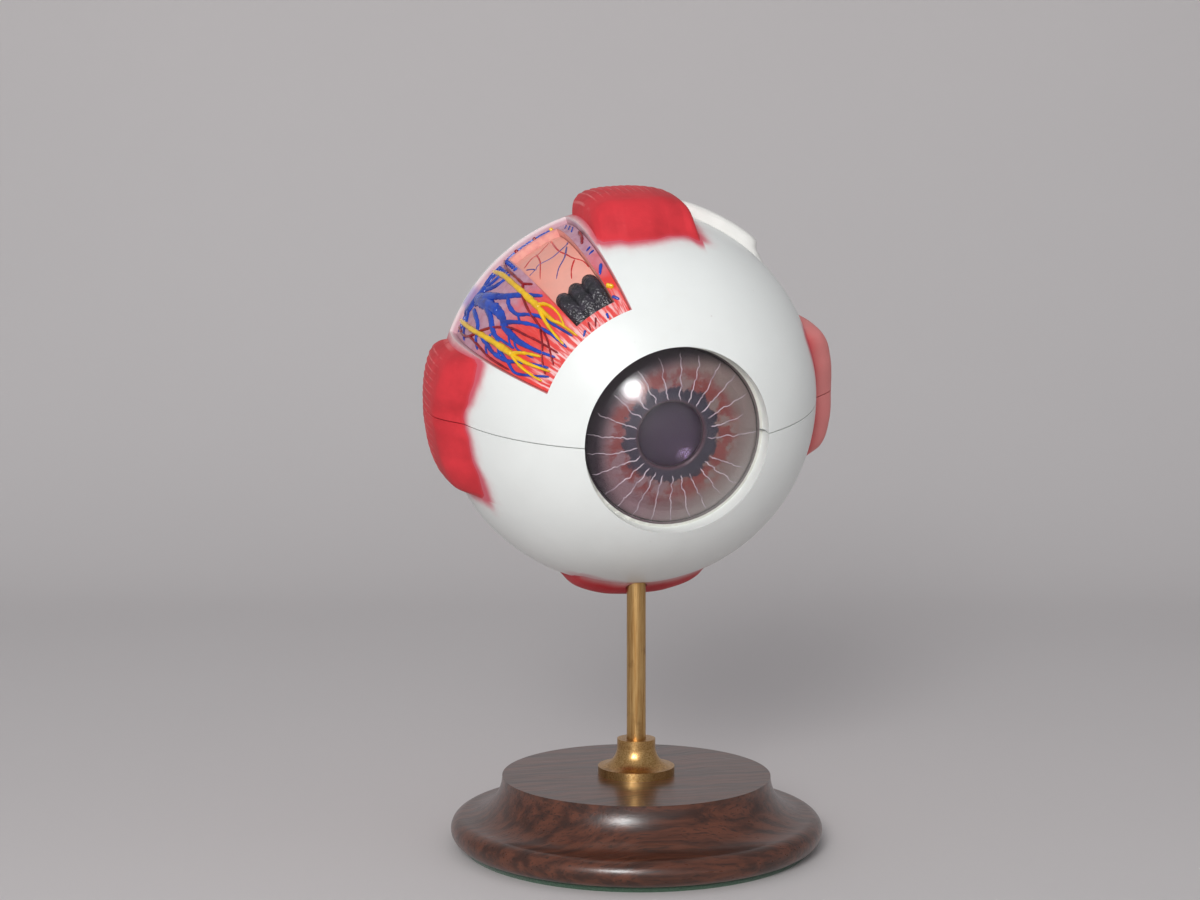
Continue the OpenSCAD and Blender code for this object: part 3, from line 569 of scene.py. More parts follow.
def recess_wall_paint(sizes):
    """Peach on the walls of the inner recess, pinker at their rim."""
    paint = Paint("recess wall paint", 0.4)
    fine = paint.noise(3 * MM, 4)
    body = paint.mix(fine.above(0.4, 0.7), screen_colour(240, 176, 162),
                     screen_colour(226, 150, 146))
    top = BALL_R - sizes.window_depth
    rim = paint.radius().above(top - 0.8 * MM, top - 0.2 * MM)
    paint.feed("Base Color", paint.mix(rim * 0.6, body, screen_colour(196, 140, 146)))
    paint.bump(fine, 0.05 * MM)
    return paint.material


def retina_paint(colours):
    """Peach of the retina, with a dark plum inner face that is painted shade for the dark inside
    of the closed ball, the pale optic disc and the darker spot inside.
    """
    paint = Paint("retina paint", 0.36)
    tone = hand_paint(paint, colours.peach, 0.05, 8 * MM, 0.36, 0.03 * MM)
    blush = paint.noise(16 * MM, 3).above(0.4, 0.7)
    tone = paint.mix(blush * 0.5, tone, screen_colour(236, 150, 132))
    inside = paint.radius().below(BALL_R - 8.6 * MM, BALL_R - 8.5 * MM)
    # Painted shade: the inner face is dark plum, standing in for the shade inside the closed ball
    # as seen through the pupil
    tone = paint.mix(inside * 0.9, tone, screen_colour(156, 70, 66))
    disc = along_nerve(paint).above(0.9925, 0.9945) * inside
    tone = paint.mix(disc, tone, screen_colour(246, 222, 160))
    spot = (paint.z / paint.radius()).below(-0.998, -0.992) * inside
    tone = paint.mix(spot * 0.7, tone, screen_colour(150, 60, 46))
    paint.feed("Base Color", tone)
    return paint.material


def along_nerve(paint):
    """Cosine of the angle between a place and the optic nerve."""
    turn = math.radians(NERVE_POLAR)
    lean = paint.x * -math.sin(turn) + paint.z * math.cos(turn)
    return lean / paint.radius()


def enamel(name, colour, deep, grain=3 * MM):
    """Glossy thick enamel with a little of a deeper tone in it."""
    paint = Paint(name, 0.2, Coat_Weight=0.4, Coat_Roughness=0.1)
    fine = paint.noise(grain, 3)
    paint.feed("Base Color", paint.mix(fine.above(0.35, 0.75), colour, deep))
    paint.bump(fine, 0.05 * MM)
    return paint.material


def muscle_paint(colours, sizes, key):
    """Red paint of one muscle, with pale lines on the crests of its grooves towards its cut end.
    """
    muscle = MUSCLES[key]
    paint = Paint(key + " muscle paint", 0.5, Specular_IOR_Level=0.15)
    turn = math.radians(muscle.azimuth)
    across = paint.y * math.cos(turn) - paint.x * math.sin(turn)
    polar = paint.polar()
    cloud = paint.noise(12 * MM, 4)
    fine = paint.noise(1.6 * MM, 4)
    deep = tuple(part * 0.74 for part in colours.muscle)
    tone = paint.mix(cloud.above(0.35, 0.7) * 0.7, colours.muscle, deep)
    # Painted sheen: the lateral muscle is painted paler pink behind its front edge, for the pale
    # sheen it shows at the grazing angle it is seen at
    if key == "lateral":
        tone = paint.mix(polar.above(66, 74) * 0.8, tone, screen_colour(226, 146, 142))
    tone = paint.mix(fine.above(0.6, 0.78) * 0.2, tone, screen_colour(226, 84, 90))
    wave = (across * (2 * math.pi / sizes.groove_pitch)).work("COSINE")
    breaks = paint.noise(4 * MM, 3)
    # Pale lines painted on the crests of the grooves
    ridge = wave.above(0.72, 0.98) * polar.above(82, 90) * breaks.above(0.34, 0.52)
    tone = paint.mix(ridge * 0.8, tone, colours.muscle_pale)
    worn = polar.above(92, 104) * cloud.above(0.3, 0.7)
    tone = paint.mix(worn * 0.3, tone, screen_colour(206, 92, 92))
    if key == "inferior":
        thin = (polar + cloud * 4).below(61, 71)
        tone = paint.mix(thin, paint.mix(0.6, tone, deep), colours.white)
    foot = paint.radius().below(BALL_R, BALL_R + 0.35 * MM) * polar.below(92, 98)
    tone = paint.mix(foot * 0.3, tone, colours.fade)
    paint.feed("Base Color", tone)
    paint.feed("Roughness", fine * 0.2 + 0.4)
    paint.bump(fine + cloud, 0.07 * MM)
    return paint.material


def iris_paint(colours):
    """Painted iris: slate spikes round the pupil, rust patches, taupe that is partly a painted
    reflection on its right side, and a plum rim that is painted shade, widest at the upper left.
    """
    paint = Paint("iris paint", 0.35)
    x, y = paint.x, paint.y
    out = (x * x + y * y).work("SQRT")
    angle = y.work("ARCTAN2", x)
    flat = paint.vector(angle * 4.2, out * 220, 0)
    spokes = paint.noise(1, 4, 0.6, (1, 1, 1), flat)
    broad = paint.noise(7 * MM, 3)
    fine = paint.noise(1.2 * MM, 4)
    # Greyer taupe on the right and plum-brown on the left: partly the iris's own colours and
    # partly a painted reflection of the room in the cornea on the right side
    right = (x + broad * (14 * MM)).above(-8 * MM, 22 * MM)
    tone = paint.mix(right, screen_colour(126, 96, 102), colours.taupe)
    tone = paint.mix(fine.above(0.4, 0.75) * 0.3, tone, screen_colour(140, 112, 110))
    patch = (spokes * 0.6 + broad * 0.5).above(0.48, 0.6) * out.above(13 * MM, 15.4 * MM)
    patch = patch * (out + spokes * (8 * MM)).below(22 * MM, 26.5 * MM)
    tone = paint.mix(patch * 0.9, tone, colours.rust)
    reach = spokes * (9 * MM) + broad * (2 * MM)
    ring = (out - reach).below(8.4 * MM, 9.4 * MM)
    tone = paint.mix(ring * 0.92, tone, colours.slate)
    lip = out.below(10.3 * MM, 11.4 * MM)
    tone = paint.mix(lip * 0.6, tone, screen_colour(84, 50, 58))
    # Painted shade: the plum rim stands for the shade and dark reflection that the lip of the
    # opening leaves on the iris, widest at the upper left
    shadow_reach = (y - x * 1.3 + fine * (6 * MM)) * 0.2 + out
    rim = shadow_reach.above(23.2 * MM, 29.5 * MM)
    tone = paint.mix(rim * 0.95, tone, colours.plum)
    border = out.above(25.4 * MM, 27.4 * MM) * 0.6
    tone = paint.mix(border, tone, screen_colour(62, 44, 54))
    paint.feed("Base Color", tone)
    paint.bump(spokes + fine, 0.1 * MM)
    return paint.material


def clear_plastic(name, tint, index=1.49, coat=0.0, clear=1.0):
    """Clear acrylic. A coated piece lets the lamps shine through it."""
    paint = Paint(name, 0.0, Transmission_Weight=clear, IOR=index, Coat_Weight=coat,
                  Coat_Roughness=0.14)
    haze = paint.noise(18 * MM, 3)
    paint.feed("Base Color", paint.mix(haze.above(0.3, 0.7), tint,
                                       tuple(part * 0.985 for part in tint)))
    if not coat:
        return paint.material
    tree = paint.tree
    light = tree.nodes.new("ShaderNodeLightPath")
    open_way = tree.nodes.new("ShaderNodeBsdfTransparent")
    open_way.inputs["Color"].default_value = (*[part * 0.92 for part in tint], 1)
    both = tree.nodes.new("ShaderNodeMixShader")
    end = tree.nodes["Material Output"]
    tree.links.new(light.outputs["Is Shadow Ray"], both.inputs[0])
    tree.links.new(paint.shader.outputs[0], both.inputs[1])
    tree.links.new(open_way.outputs[0], both.inputs[2])
    tree.links.new(both.outputs[0], end.inputs["Surface"])
    return paint.material


def pleat_paint(colours):
    """Black paint with coarse glitter in it."""
    paint = Paint("black pleat paint", 0.34, Coat_Weight=0.3, Coat_Roughness=0.2)
    grit = paint.cells(0.9 * MM)
    cloud = paint.noise(3 * MM, 4)
    flake = grit.below(0.14, 0.26) * (paint.polar() + cloud * 6).below(52.5, 55.5)
    tone = paint.mix(cloud.above(0.35, 0.75), colours.black, screen_colour(62, 56, 66))
    paint.feed("Base Color", paint.mix(flake * 0.75, tone, screen_colour(176, 170, 170)))
    paint.bump(grit + cloud, 0.2 * MM)
    return paint.material


def brass(colours, name, streak=(1, 1, 0.04)):
    """Aged brass with fine drawn lines and small dull spots."""
    paint = Paint(name, 0.3, on_eye=False, Metallic=1.0)
    lines = paint.noise(0.5 * MM, 3, 0.6, streak)
    patina = paint.noise(7 * MM, 4)
    tone = paint.mix(lines.above(0.3, 0.7), colours.brass, screen_colour(178, 134, 80))
    tone = paint.mix(patina.above(0.55, 0.75) * 0.55, tone, screen_colour(122, 84, 50))
    paint.feed("Base Color", tone)
    paint.feed("Roughness", lines * 0.22 + patina * 0.2 + 0.12)
    paint.bump(lines, 0.02 * MM)
    return paint.material


def steel(colours):
    """Turned steel with rings round the rod."""
    paint = Paint("turned steel", 0.35, on_eye=False, Metallic=1.0)
    out = (paint.x * paint.x + paint.y * paint.y).work("SQRT")
    rings = paint.noise(1, 2, 0.5, (1, 1, 1), paint.vector(out * 2500, 0, 0))
    paint.feed("Base Color", paint.mix(rings, colours.steel, screen_colour(140, 142, 148)))
    paint.feed("Roughness", rings * 0.2 + 0.24)
    paint.bump(rings, 0.02 * MM)
    return paint.material


def turned_wood(colours):
    """Dark stained wood with long grain under satin lacquer."""
    paint = Paint("dark turned wood", 0.3, on_eye=False, Coat_Weight=0.35, Coat_Roughness=0.18)
    warp = paint.noise(40 * MM, 3)
    bent = paint.vector(paint.x, paint.y + warp * (14 * MM), paint.z)
    rings = paint.noise(3 * MM, 4, 0.6, (0.08, 1, 1), bent)
    pores = paint.noise(0.7 * MM, 2, 0.5, (0.05, 1, 1), bent)
    dark = tuple(part * 0.34 for part in colours.wood)
    tone = paint.mix(rings.above(0.35, 0.65), dark, colours.wood)
    tone = paint.mix(pores.above(0.58, 0.68) * 0.7, tone, screen_colour(34, 18, 12))
    paint.feed("Base Color", tone)
    paint.feed("Roughness", pores * 0.18 + 0.22)
    paint.bump(pores, 0.05 * MM)
    return paint.material


def felt_cloth(colours):
    """Short matted felt."""
    paint = Paint("green felt", 0.95, on_eye=False, Sheen_Weight=0.4, Sheen_Roughness=0.6)
    hair = paint.noise(0.5 * MM, 4, 0.7)
    dark = tuple(part * 0.5 for part in colours.felt)
    paint.feed("Base Color", paint.mix(hair.above(0.3, 0.7), dark, colours.felt))
    paint.bump(hair, 0.3 * MM)
    return paint.material


# ---- Shapes ----


def direction(polar, azimuth):
    """Unit vector towards a place on the ball, in the eye's own frame."""
    p, a = math.radians(polar), math.radians(azimuth)
    return Vector((math.sin(p) * math.cos(a), math.sin(p) * math.sin(a), math.cos(p)))


def add_piece(name, shape, body, materials, nodes=(), round_by=0):
    """Makes a smooth piece from a bmesh in the eye's own frame, and hangs it on a body."""
    bmesh.ops.transform(shape, matrix=EYE, verts=shape.verts)
    bmesh.ops.remove_doubles(shape, verts=shape.verts, dist=WELD)
    bmesh.ops.dissolve_degenerate(shape, edges=shape.edges, dist=1e-7)
    bmesh.ops.recalc_face_normals(shape, faces=shape.faces)
    mesh = bpy.data.meshes.new(name)
    shape.to_mesh(mesh)
    shape.free()
    mesh.shade_smooth()
    piece = bpy.data.objects.new(name, mesh)
    bpy.context.scene.collection.objects.link(piece)
    for material in materials:
        mesh.materials.append(material)
    if round_by:
        edge = piece.modifiers.new("Rounded edges", "BEVEL")
        edge.width = round_by
        edge.segments = 2
        edge.limit_method = "ANGLE"
        edge.angle_limit = math.radians(35)
        even = piece.modifiers.new("Even shading", "WEIGHTED_NORMAL")
        even.keep_sharp = False
    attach(piece, body)
    if nodes:
        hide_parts(*nodes)
    return piece


def loft(shape, rings, closed=True, ends=True):
    """Skins a row of rings of points, each with as many points as the next."""
    rows = [[shape.verts.new(point) for point in ring] for ring in rings]
    count = len(rows[0])
    for near, ahead in zip(rows, rows[1:]):
        for i in range(count if closed else count - 1):
            j = (i + 1) % count
            shape.faces.new((near[i], near[j], ahead[j], ahead[i]))
    if ends:
        for row in (rows[0], rows[-1]):
            shape.faces.new(row)
    return rows


def lathe(shape, profile, steps, closed=True):
    """Turns an outline of (radius, height) points round the gaze. An open outline starts and
    ends on the gaze."""
    rings = []
    for i in range(steps):
        turn = 2 * math.pi * i / steps
        rings.append([Vector((r * math.cos(turn), r * math.sin(turn), z)) for r, z in profile])
    rings.append(rings[0])
    loft(shape, rings, closed, ends=False)


def spread(low, high, step):
    """Evenly spaced values from low to high, about one step apart."""
    count = max(1, round((high - low) / step))
    return [low + (high - low) * i / count for i in range(count + 1)]


def lines_through(stops, step):
    """Evenly spaced values through every stop."""
    values = [stops[0]]
    for low, high in zip(stops, stops[1:]):
        values += spread(low, high, step)[1:]
    return values


def shell_half(shape, upper, outer, inner, polars, azimuths, hole=None, front_in=None):
    """Half of a shell, or a patch of one: outer faces use material 0, a hole's walls 1 and
    inner faces 2."""
    side = 1 if upper else -1

    def put(radius, polar, azimuth):
        point = direction(polar, azimuth if upper else azimuth + 180) * radius
        point.y = side * SEAM_GAP / 2 + point.y * (1 - SEAM_GAP / 2 / radius)
        return shape.verts.new(point)

    skins = []
    for radius, front in ((outer, None), (inner, front_in)):
        skin = []
        for row, polar in enumerate(polars):
            at = front if front is not None and row == 0 else polar
            skin.append([put(radius, at, azimuth) for azimuth in azimuths])
        skins.append(skin)

    def kept(i, j):
        if not 0 <= i < len(polars) - 1 or not 0 <= j < len(azimuths) - 1:
            return False
        if hole is None:
            return True
        polar = (polars[i] + polars[i + 1]) / 2
        azimuth = (azimuths[j] + azimuths[j + 1]) / 2
        return not (hole[0] < polar < hole[1] and hole[2] < azimuth < hole[3])

    out, inn = skins
    for i in range(len(polars) - 1):
        for j in range(len(azimuths) - 1):
            if not kept(i, j):
                continue
            shape.faces.new((out[i][j], out[i + 1][j], out[i + 1][j + 1], out[i][j + 1]))
            face = shape.faces.new((inn[i][j], inn[i][j + 1], inn[i + 1][j + 1], inn[i + 1][j]))
            face.material_index = 2
            for a, b, next_cell in (
                ((i, j), (i, j + 1), (i - 1, j)),
                ((i + 1, j), (i + 1, j + 1), (i + 1, j)),
                ((i, j), (i + 1, j), (i, j - 1)),
                ((i, j + 1), (i + 1, j + 1), (i, j + 1)),
            ):
                if kept(*next_cell) or (a[0] == b[0] and polars[a[0]] >= 180):
                    continue
                face = shape.faces.new((out[a[0]][a[1]], out[b[0]][b[1]],
                                        inn[b[0]][b[1]], inn[a[0]][a[1]]))
                inside = 0 <= next_cell[0] < len(polars) - 1
                inside = inside and 0 <= next_cell[1] < len(azimuths) - 1
                face.material_index = 1 if inside else 0


def read_curve(points, at):
    """Height of a listed curve at a place, eased between its points."""
    if at <= points[0][0]:
        return points[0][1]
    for (x0, y0), (x1, y1) in zip(points, points[1:]):
        if at <= x1:
            share = (at - x0) / (x1 - x0)
            return y0 + (y1 - y0) * (1 - math.cos(math.pi * share)) / 2
    return points[-1][1]


def ease(share):
    """Smooth rise from 0 to 1."""
    share = min(1.0, max(0.0, share))
    return share * share * (3 - 2 * share)


def keep_beyond(shape, place, way):
    """Keeps the part of a closed shape that lies past a plane, and closes the cut."""
    made = bmesh.ops.bisect_plane(
        shape, geom=shape.verts[:] + shape.edges[:] + shape.faces[:], dist=1e-7,
        plane_co=place, plane_no=-way, clear_outer=True)
    cut = [part for part in made["geom_cut"] if isinstance(part, bmesh.types.BMEdge)]
    bmesh.ops.triangle_fill(shape, use_beauty=True, edges=cut)


def cut_at_seam(shape, upper):
    """Keeps the part of a closed shape on one side of the seam."""
    side = 1 if upper else -1
    keep_beyond(shape, Vector((0, side * SEAM_GAP / 2, 0)), Vector((0, side, 0)))


def muscle_shape(key, sizes):
    """A straight muscle's stump: it rises out of the ball and is grooved towards its cut end."""
    muscle = MUSCLES[key]
    turn = math.radians(muscle.azimuth)
    across_way = Vector((-math.sin(turn), math.cos(turn), 0))
    half = muscle.width / 2 * MM
    sunk = 0.1 * MM
    columns = 2 * round(muscle.width / 0.34)
    rows = 72
    corner = 5.0 * MM / half
    round_end = 1.1 * MM
    rings = []
    for i in range(rows + 1):
        along = i / rows
        ring = []
        under = []
        for j in range(columns + 1):
            share = 2 * j / columns - 1
            v = math.copysign(1 - (1 - abs(share)) ** 1.35, share)
            over = max(0.0, (abs(v) - (1 - corner)) / corner)
            tuck = 5.0 * (1 - math.sqrt(max(0.0, 1 - over * over)))
            start = muscle.front + read_curve(muscle.edge, v)
            end = muscle.back - tuck * 0.9
            polar = start + (end - start) * along
            height = muscle.thickness * MM * ease((polar - start) / muscle.rise) ** 0.8
            height *= (1 - abs(v) ** 6) ** 0.42
            tail = (end - polar) * math.radians(BALL_R)
            if tail < round_end:
                height -= round_end * (1 - math.sqrt(max(0.0, 1 - (1 - tail / round_end) ** 2)))
            b = half * v
            grooved = ease((polar - 78) / 14)
            groove = (1 + math.cos(2 * math.pi * b / sizes.groove_pitch)) / 2
            groove *= grooved * ease((1 - abs(v)) / 0.12)
            height -= sizes.groove_depth * (1 - groove) * grooved
            lump = noise.noise(Vector((b, polar * MM, muscle.azimuth)) * 160) * 0.14 * MM
            height = max(0.0, height + lump * ease(height / (1.5 * MM))) - 0.03 * MM
            spoke = direction(polar, muscle.azimuth)
            for radius, store in ((BALL_R + height, ring), (BALL_R - sunk, under)):
                store.append(across_way * b + spoke * math.sqrt(radius * radius - b * b))
        rings.append(ring + under[::-1])
    shape = bmesh.new()
    loft(shape, rings)
    return shape


def smooth_route(route, steps=7):
    """Smooth curve through a route's points."""
    points = [Vector(point) for point in route]
    path = []
    last = len(points) - 1
    for i in range(last):
        a, b = points[max(i - 1, 0)], points[i]
        c, d = points[i + 1], points[min(i + 2, last)]
        for k in range(steps):
            t = k / steps
            path.append((2 * b + (c - a) * t + (2 * a - 5 * b + 4 * c - d) * t * t
                         + (3 * b - a - 3 * c + d) * t ** 3) / 2)
    path.append(points[-1])
    return path


def ribbon(shape, spots, normals, widths, height, sides=8, sink=0.12 * MM):
    """Raised line with a half-round section along a row of spots."""
    rings = []
    last = len(spots) - 1
    for i, (spot, normal) in enumerate(zip(spots, normals)):
        ahead = spots[min(i + 1, last)] - spots[max(i - 1, 0)]
        side = normal.cross(ahead).normalized()
        end = min(1.0, (min(i, last - i) + 0.35) / 1.6)
        wide = widths[i] * end
        tall = height * (0.35 + 0.65 * end) * min(1.0, 0.35 + widths[i] / (1.3 * MM))
        ring = []
        for k in range(sides + 1):
            turn = math.pi * k / sides
            ring.append(spot + side * wide * math.cos(turn) + normal * tall * math.sin(turn))
        ring.append(spot - side * wide * 0.9 - normal * sink)
        ring.append(spot + side * wide * 0.9 - normal * sink)
        rings.append(ring)
    loft(shape, rings)


def vessel(shape, route, start, end, seat, height, inward=False):
    """Vessel or nerve in relief on a layer of the ball, with a hand-made wobble."""
    path = smooth_route(route)
    spots, normals, widths = [], [], []
    last = len(path) - 1
    for i, at in enumerate(path):
        way = direction(at.x, at.y)
        shake = noise.noise(way * 55 + Vector((start, end, 0)))
        spots.append(way * seat)
        normals.append(-way if inward else way)
        widths.append((start + (end - start) * i / last) * MM * (1 + 0.3 * shake))
    ribbon(shape, spots, normals, widths, height)


def stump_shape(at, long, wide, thick, soft=0.8, flare=0.0, turn=0.0):
    """Flat stump with rounded edges, lying on the ball round a place and turned there; sizes in
    millimetres and degrees."""
    frame_in = Matrix.Rotation(math.radians(at[1]), 4, "Z") @ Matrix.Rotation(
        math.radians(at[0]), 4, "Y") @ Matrix.Rotation(math.radians(-turn), 4, "Z")
    shape = bmesh.new()
    rings = []
    steps = 96
    power = 2.0 / 4.2
    side = [(soft * 2.5, -0.1), (-flare, -0.1), (-flare * 0.7, 0.35), (-flare * 0.4, 1.2),
            (-flare * 0.12, thick - soft * 1.6), (0.0, thick - soft),
            (soft * 0.3, thick - soft * 0.3), (soft, thick), (soft * 3, thick + 0.1)]
    for inset, lift in side:
        ring = []
        for i in range(steps):
            way = 2 * math.pi * i / steps
            c, s = math.cos(way), math.sin(way)
            # The flare is at one end only
            shift = inset if inset > 0 else inset * max(0.0, -s) ** 3
            x = math.copysign(abs(c) ** power, c) * (long / 2 - max(0.0, inset)) * MM
            y = math.copysign(abs(s) ** power, s) * (wide / 2 - shift) * MM
            radius = BALL_R + lift * MM
            ring.append(frame_in @ Vector((x, y, math.sqrt(radius * radius - x * x - y * y))))
        rings.append(ring)
    loft(shape, rings)
    return shape


# ---- Operators ----


def settings(context):
    """The user's sizes and colours."""
    return context.scene.eye_sizes, context.scene.eye_colours


class EYE_OT_shell(bpy.types.Operator):
    """Build the two halves of the white shell with the window and the front opening"""

    bl_idname = "eye.shell"
    bl_label = "White shell"

    def execute(self, context):
        sizes, colours = settings(context)
        inner = BALL_R - sizes.shell_wall
        front = math.degrees(math.asin(sizes.opening_radius / BALL_R))
        front_in = math.degrees(math.asin(sizes.opening_radius / inner))
        paints = [white_paint(colours, sizes), cut_wall_paint(colours), bare_white()]
        polars = lines_through([front, 34, WINDOW[0], WINDOW[1], 180], 1.5)
        azimuths = lines_through([0, WINDOW[2], WINDOW[3], 180], 1.5)
        for upper in (True, False):
            half = "upper" if upper else "lower"
            shape = bmesh.new()
            shell_half(shape, upper, BALL_R, inner, polars, azimuths,
                       WINDOW if upper else None, front_in)
            add_piece("white_shell_" + half, shape, "cap" if upper else "eyeball", paints,
                      ["sclera_" + half], round_by=sizes.edge_round)
        bore_socket_hole(bpy.data.objects["white_shell_lower"])
        return {"FINISHED"}


def bore_hole(piece, radius, top):
    """Drills a hole round the rod's axis, from the table up to a height."""
    tool = bmesh.new()
    bmesh.ops.create_cone(tool, cap_ends=True, segments=48, radius1=radius, radius2=radius,
                          depth=top)
    mesh = bpy.data.meshes.new("drill")
    tool.to_mesh(mesh)
    tool.free()
    drill = bpy.data.objects.new("drill", mesh)
    bpy.context.scene.collection.objects.link(drill)
    drill.location.z = top / 2
    cut = piece.modifiers.new("Hole", "BOOLEAN")
    cut.operation = "DIFFERENCE"
    cut.solver = "EXACT"
    cut.object = drill
    piece.modifiers.move(len(piece.modifiers) - 1, 0)
    bpy.context.view_layer.update()
    with bpy.context.temp_override(object=piece, active_object=piece, selected_objects=[piece]):
        bpy.ops.object.modifier_apply(modifier=cut.name)
    bpy.data.objects.remove(drill)


def bore_socket_hole(piece):
    """Drills the hole for the rod's brass socket."""
    low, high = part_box("rod_socket")
    play = 0.1 * MM
    bore_hole(piece, (high.x - low.x) / 2 + play, high.z + play)


def window_layers(sizes):
    """Radii of the vascular layer and of the recess's floor, as seen in the window."""
    layer = BALL_R - sizes.window_depth
    return layer, layer - sizes.recess_depth


def standing_in(edges):
    """Polar angles and azimuths of a raised patch that stands clear inside an opening."""
    low_p, high_p, low_a, high_a = edges
    return low_p + PAD_GAP, high_p - PAD_GAP, low_a + PAD_GAP, high_a - PAD_GAP


class EYE_OT_layers(bpy.types.Operator):
    """Build the vascular layer and the retina inside the white shell"""

    bl_idname = "eye.layers"
    bl_label = "Inner layers"

    def execute(self, context):
        sizes, colours = settings(context)
        outer = BALL_R - sizes.shell_wall - BOND
        inner = outer - sizes.choroid_wall
        retina_out, retina_in = inner - BOND, inner - BOND - sizes.retina_wall
        layer, floor = window_layers(sizes)
        sunk = 0.3 * MM
        vascular = [choroid_paint(colours), recess_wall_paint(sizes), bare_white()]
        retina = [retina_paint(colours)] * 3
        polars = lines_through([40, RECESS[0], RECESS[1], 180], 2)
        azimuths = lines_through([0, RECESS[2], RECESS[3], 180], 2)
        for upper in (True, False):
            half = "upper" if upper else "lower"
            body = "cap" if upper else "eyeball"
            shape = bmesh.new()
            shell_half(shape, upper, outer, inner, polars, azimuths, RECESS if upper else None)
            if upper:
                near, far, top, low = standing_in(WINDOW)
                shell_half(shape, upper, layer, outer - sunk,
                           lines_through([near, RECESS[0], RECESS[1], far], 2),
                           lines_through([top, RECESS[2], RECESS[3], low], 2), RECESS)
            piece = add_piece("vascular_layer_" + half, shape, body, vascular,
                              ["choroid_" + half], round_by=0.15 * MM)
            if not upper:
                bore_socket_hole(piece)
            shape = bmesh.new()
            shell_half(shape, upper, retina_out, retina_in,
                       lines_through([RECESS[0], 180], 2), azimuths)
            if upper:
                near, far, top, low = standing_in(RECESS)
                shell_half(shape, upper, floor, retina_out - sunk,
                           lines_through([near, far], 2), lines_through([top, low], 2))
            add_piece("retina_layer_" + half, shape, body, retina, ["retina_" + half],
                      round_by=0.1 * MM)
        return {"FINISHED"}


class EYE_OT_vessels(bpy.types.Operator):
    """Lay the veins, nerves and arteries over the vascular layer and the retina"""

    bl_idname = "eye.vessels"
    bl_label = "Vessels and nerves"

    def execute(self, context):
        sizes, colours = settings(context)
        seat, floor = window_layers(sizes)
        tall = sizes.vein_height
        blue = enamel("vein blue enamel", colours.vein, screen_colour(34, 52, 138))
        yellow = enamel("nerve yellow enamel", colours.nerve, screen_colour(226, 172, 22))
        crimson = enamel("artery red enamel", colours.artery, screen_colour(108, 20, 34))
        shape = bmesh.new()
        for route, start, end in TRUNK:
            vessel(shape, route, start, end, seat, 1.5 * tall)
        for route, start, end in VEINS:
            vessel(shape, route, start, end, seat, tall)
        for polar in COMB:
            vessel(shape, [(polar, 129.7), (polar + 0.5, 131.1)], 0.62, 0.5, seat, tall)
            vessel(shape, [(polar + 0.6, 132.6), (polar + 0.9, 133.8)], 0.5, 0.35, seat, tall)
        for route, start, end in STRIP_VEINS:
            vessel(shape, route, start, end, seat, tall * 0.7)
        add_piece("vortex_vein_relief", shape, "cap", [blue], ["vortex_veins"])
        shape = bmesh.new()
        for route, start, end in NERVES + STRIP_NERVES:
            vessel(shape, route, start, end, seat, tall * 1.7)
        add_piece("ciliary_nerve_relief", shape, "cap", [yellow], ["ciliary_nerves"])
        shape = bmesh.new()
        for route, start, end in ARTERIES + STRIP_ARTERIES:
            vessel(shape, route, start, end, seat, tall * 1.35)
        add_piece("ciliary_artery_relief", shape, "cap", [crimson], ["ciliary_arteries"])
        red_line = enamel("retina red line", screen_colour(206, 36, 40),
                          screen_colour(180, 30, 40))
        blue_line = enamel("retina blue line", screen_colour(92, 84, 150),
                           screen_colour(72, 66, 134))
        for name, routes, material, slot_name in (
            ("retina_red_lines", RETINA_ARTERIES, red_line, "dark_red_paint"),
            ("retina_blue_lines", RETINA_VEINS, blue_line, "blue_paint"),
        ):
            shape = bmesh.new()
            for route in routes:
                vessel(shape, route, 0.34, 0.16, floor, 0.22 * MM)
            add_piece(name, shape, "cap", [material])
        wall = BALL_R - sizes.shell_wall - sizes.choroid_wall - sizes.retina_wall - 2 * BOND
        self.inside_lines(wall, red_line, blue_line)
        return {"FINISHED"}

    def inside_lines(self, wall, red_line, blue_line):
        """Vessels that spread from the optic disc over the inside of the retina."""
        for name, upper, material, shift, slot_name in (
            ("inner_red_lines_upper", True, red_line, 0, "dark_red_paint"),
            ("inner_blue_lines_upper", True, blue_line, 7, "blue_paint"),
            ("inner_red_lines_lower", False, red_line, 0, "dark_red_paint"),
            ("inner_blue_lines_lower", False, blue_line, 7, "blue_paint"),
        ):
            shape = bmesh.new()
            for azimuth, sweep in ((172, -34), (158, -60), (130, -104)):
                turn = azimuth + shift
                route = [(166, turn), (154, turn + sweep * 0.2), (140, turn + sweep * 0.5),
                         (122, turn + sweep * 0.8), (104, turn + sweep)]
                if not upper:
                    route = [(polar, 360 - around) for polar, around in route]
                vessel(shape, route, 0.5, 0.2, wall, 0.25 * MM, inward=True)
            add_piece(name, shape, "cap" if upper else "eyeball", [material])


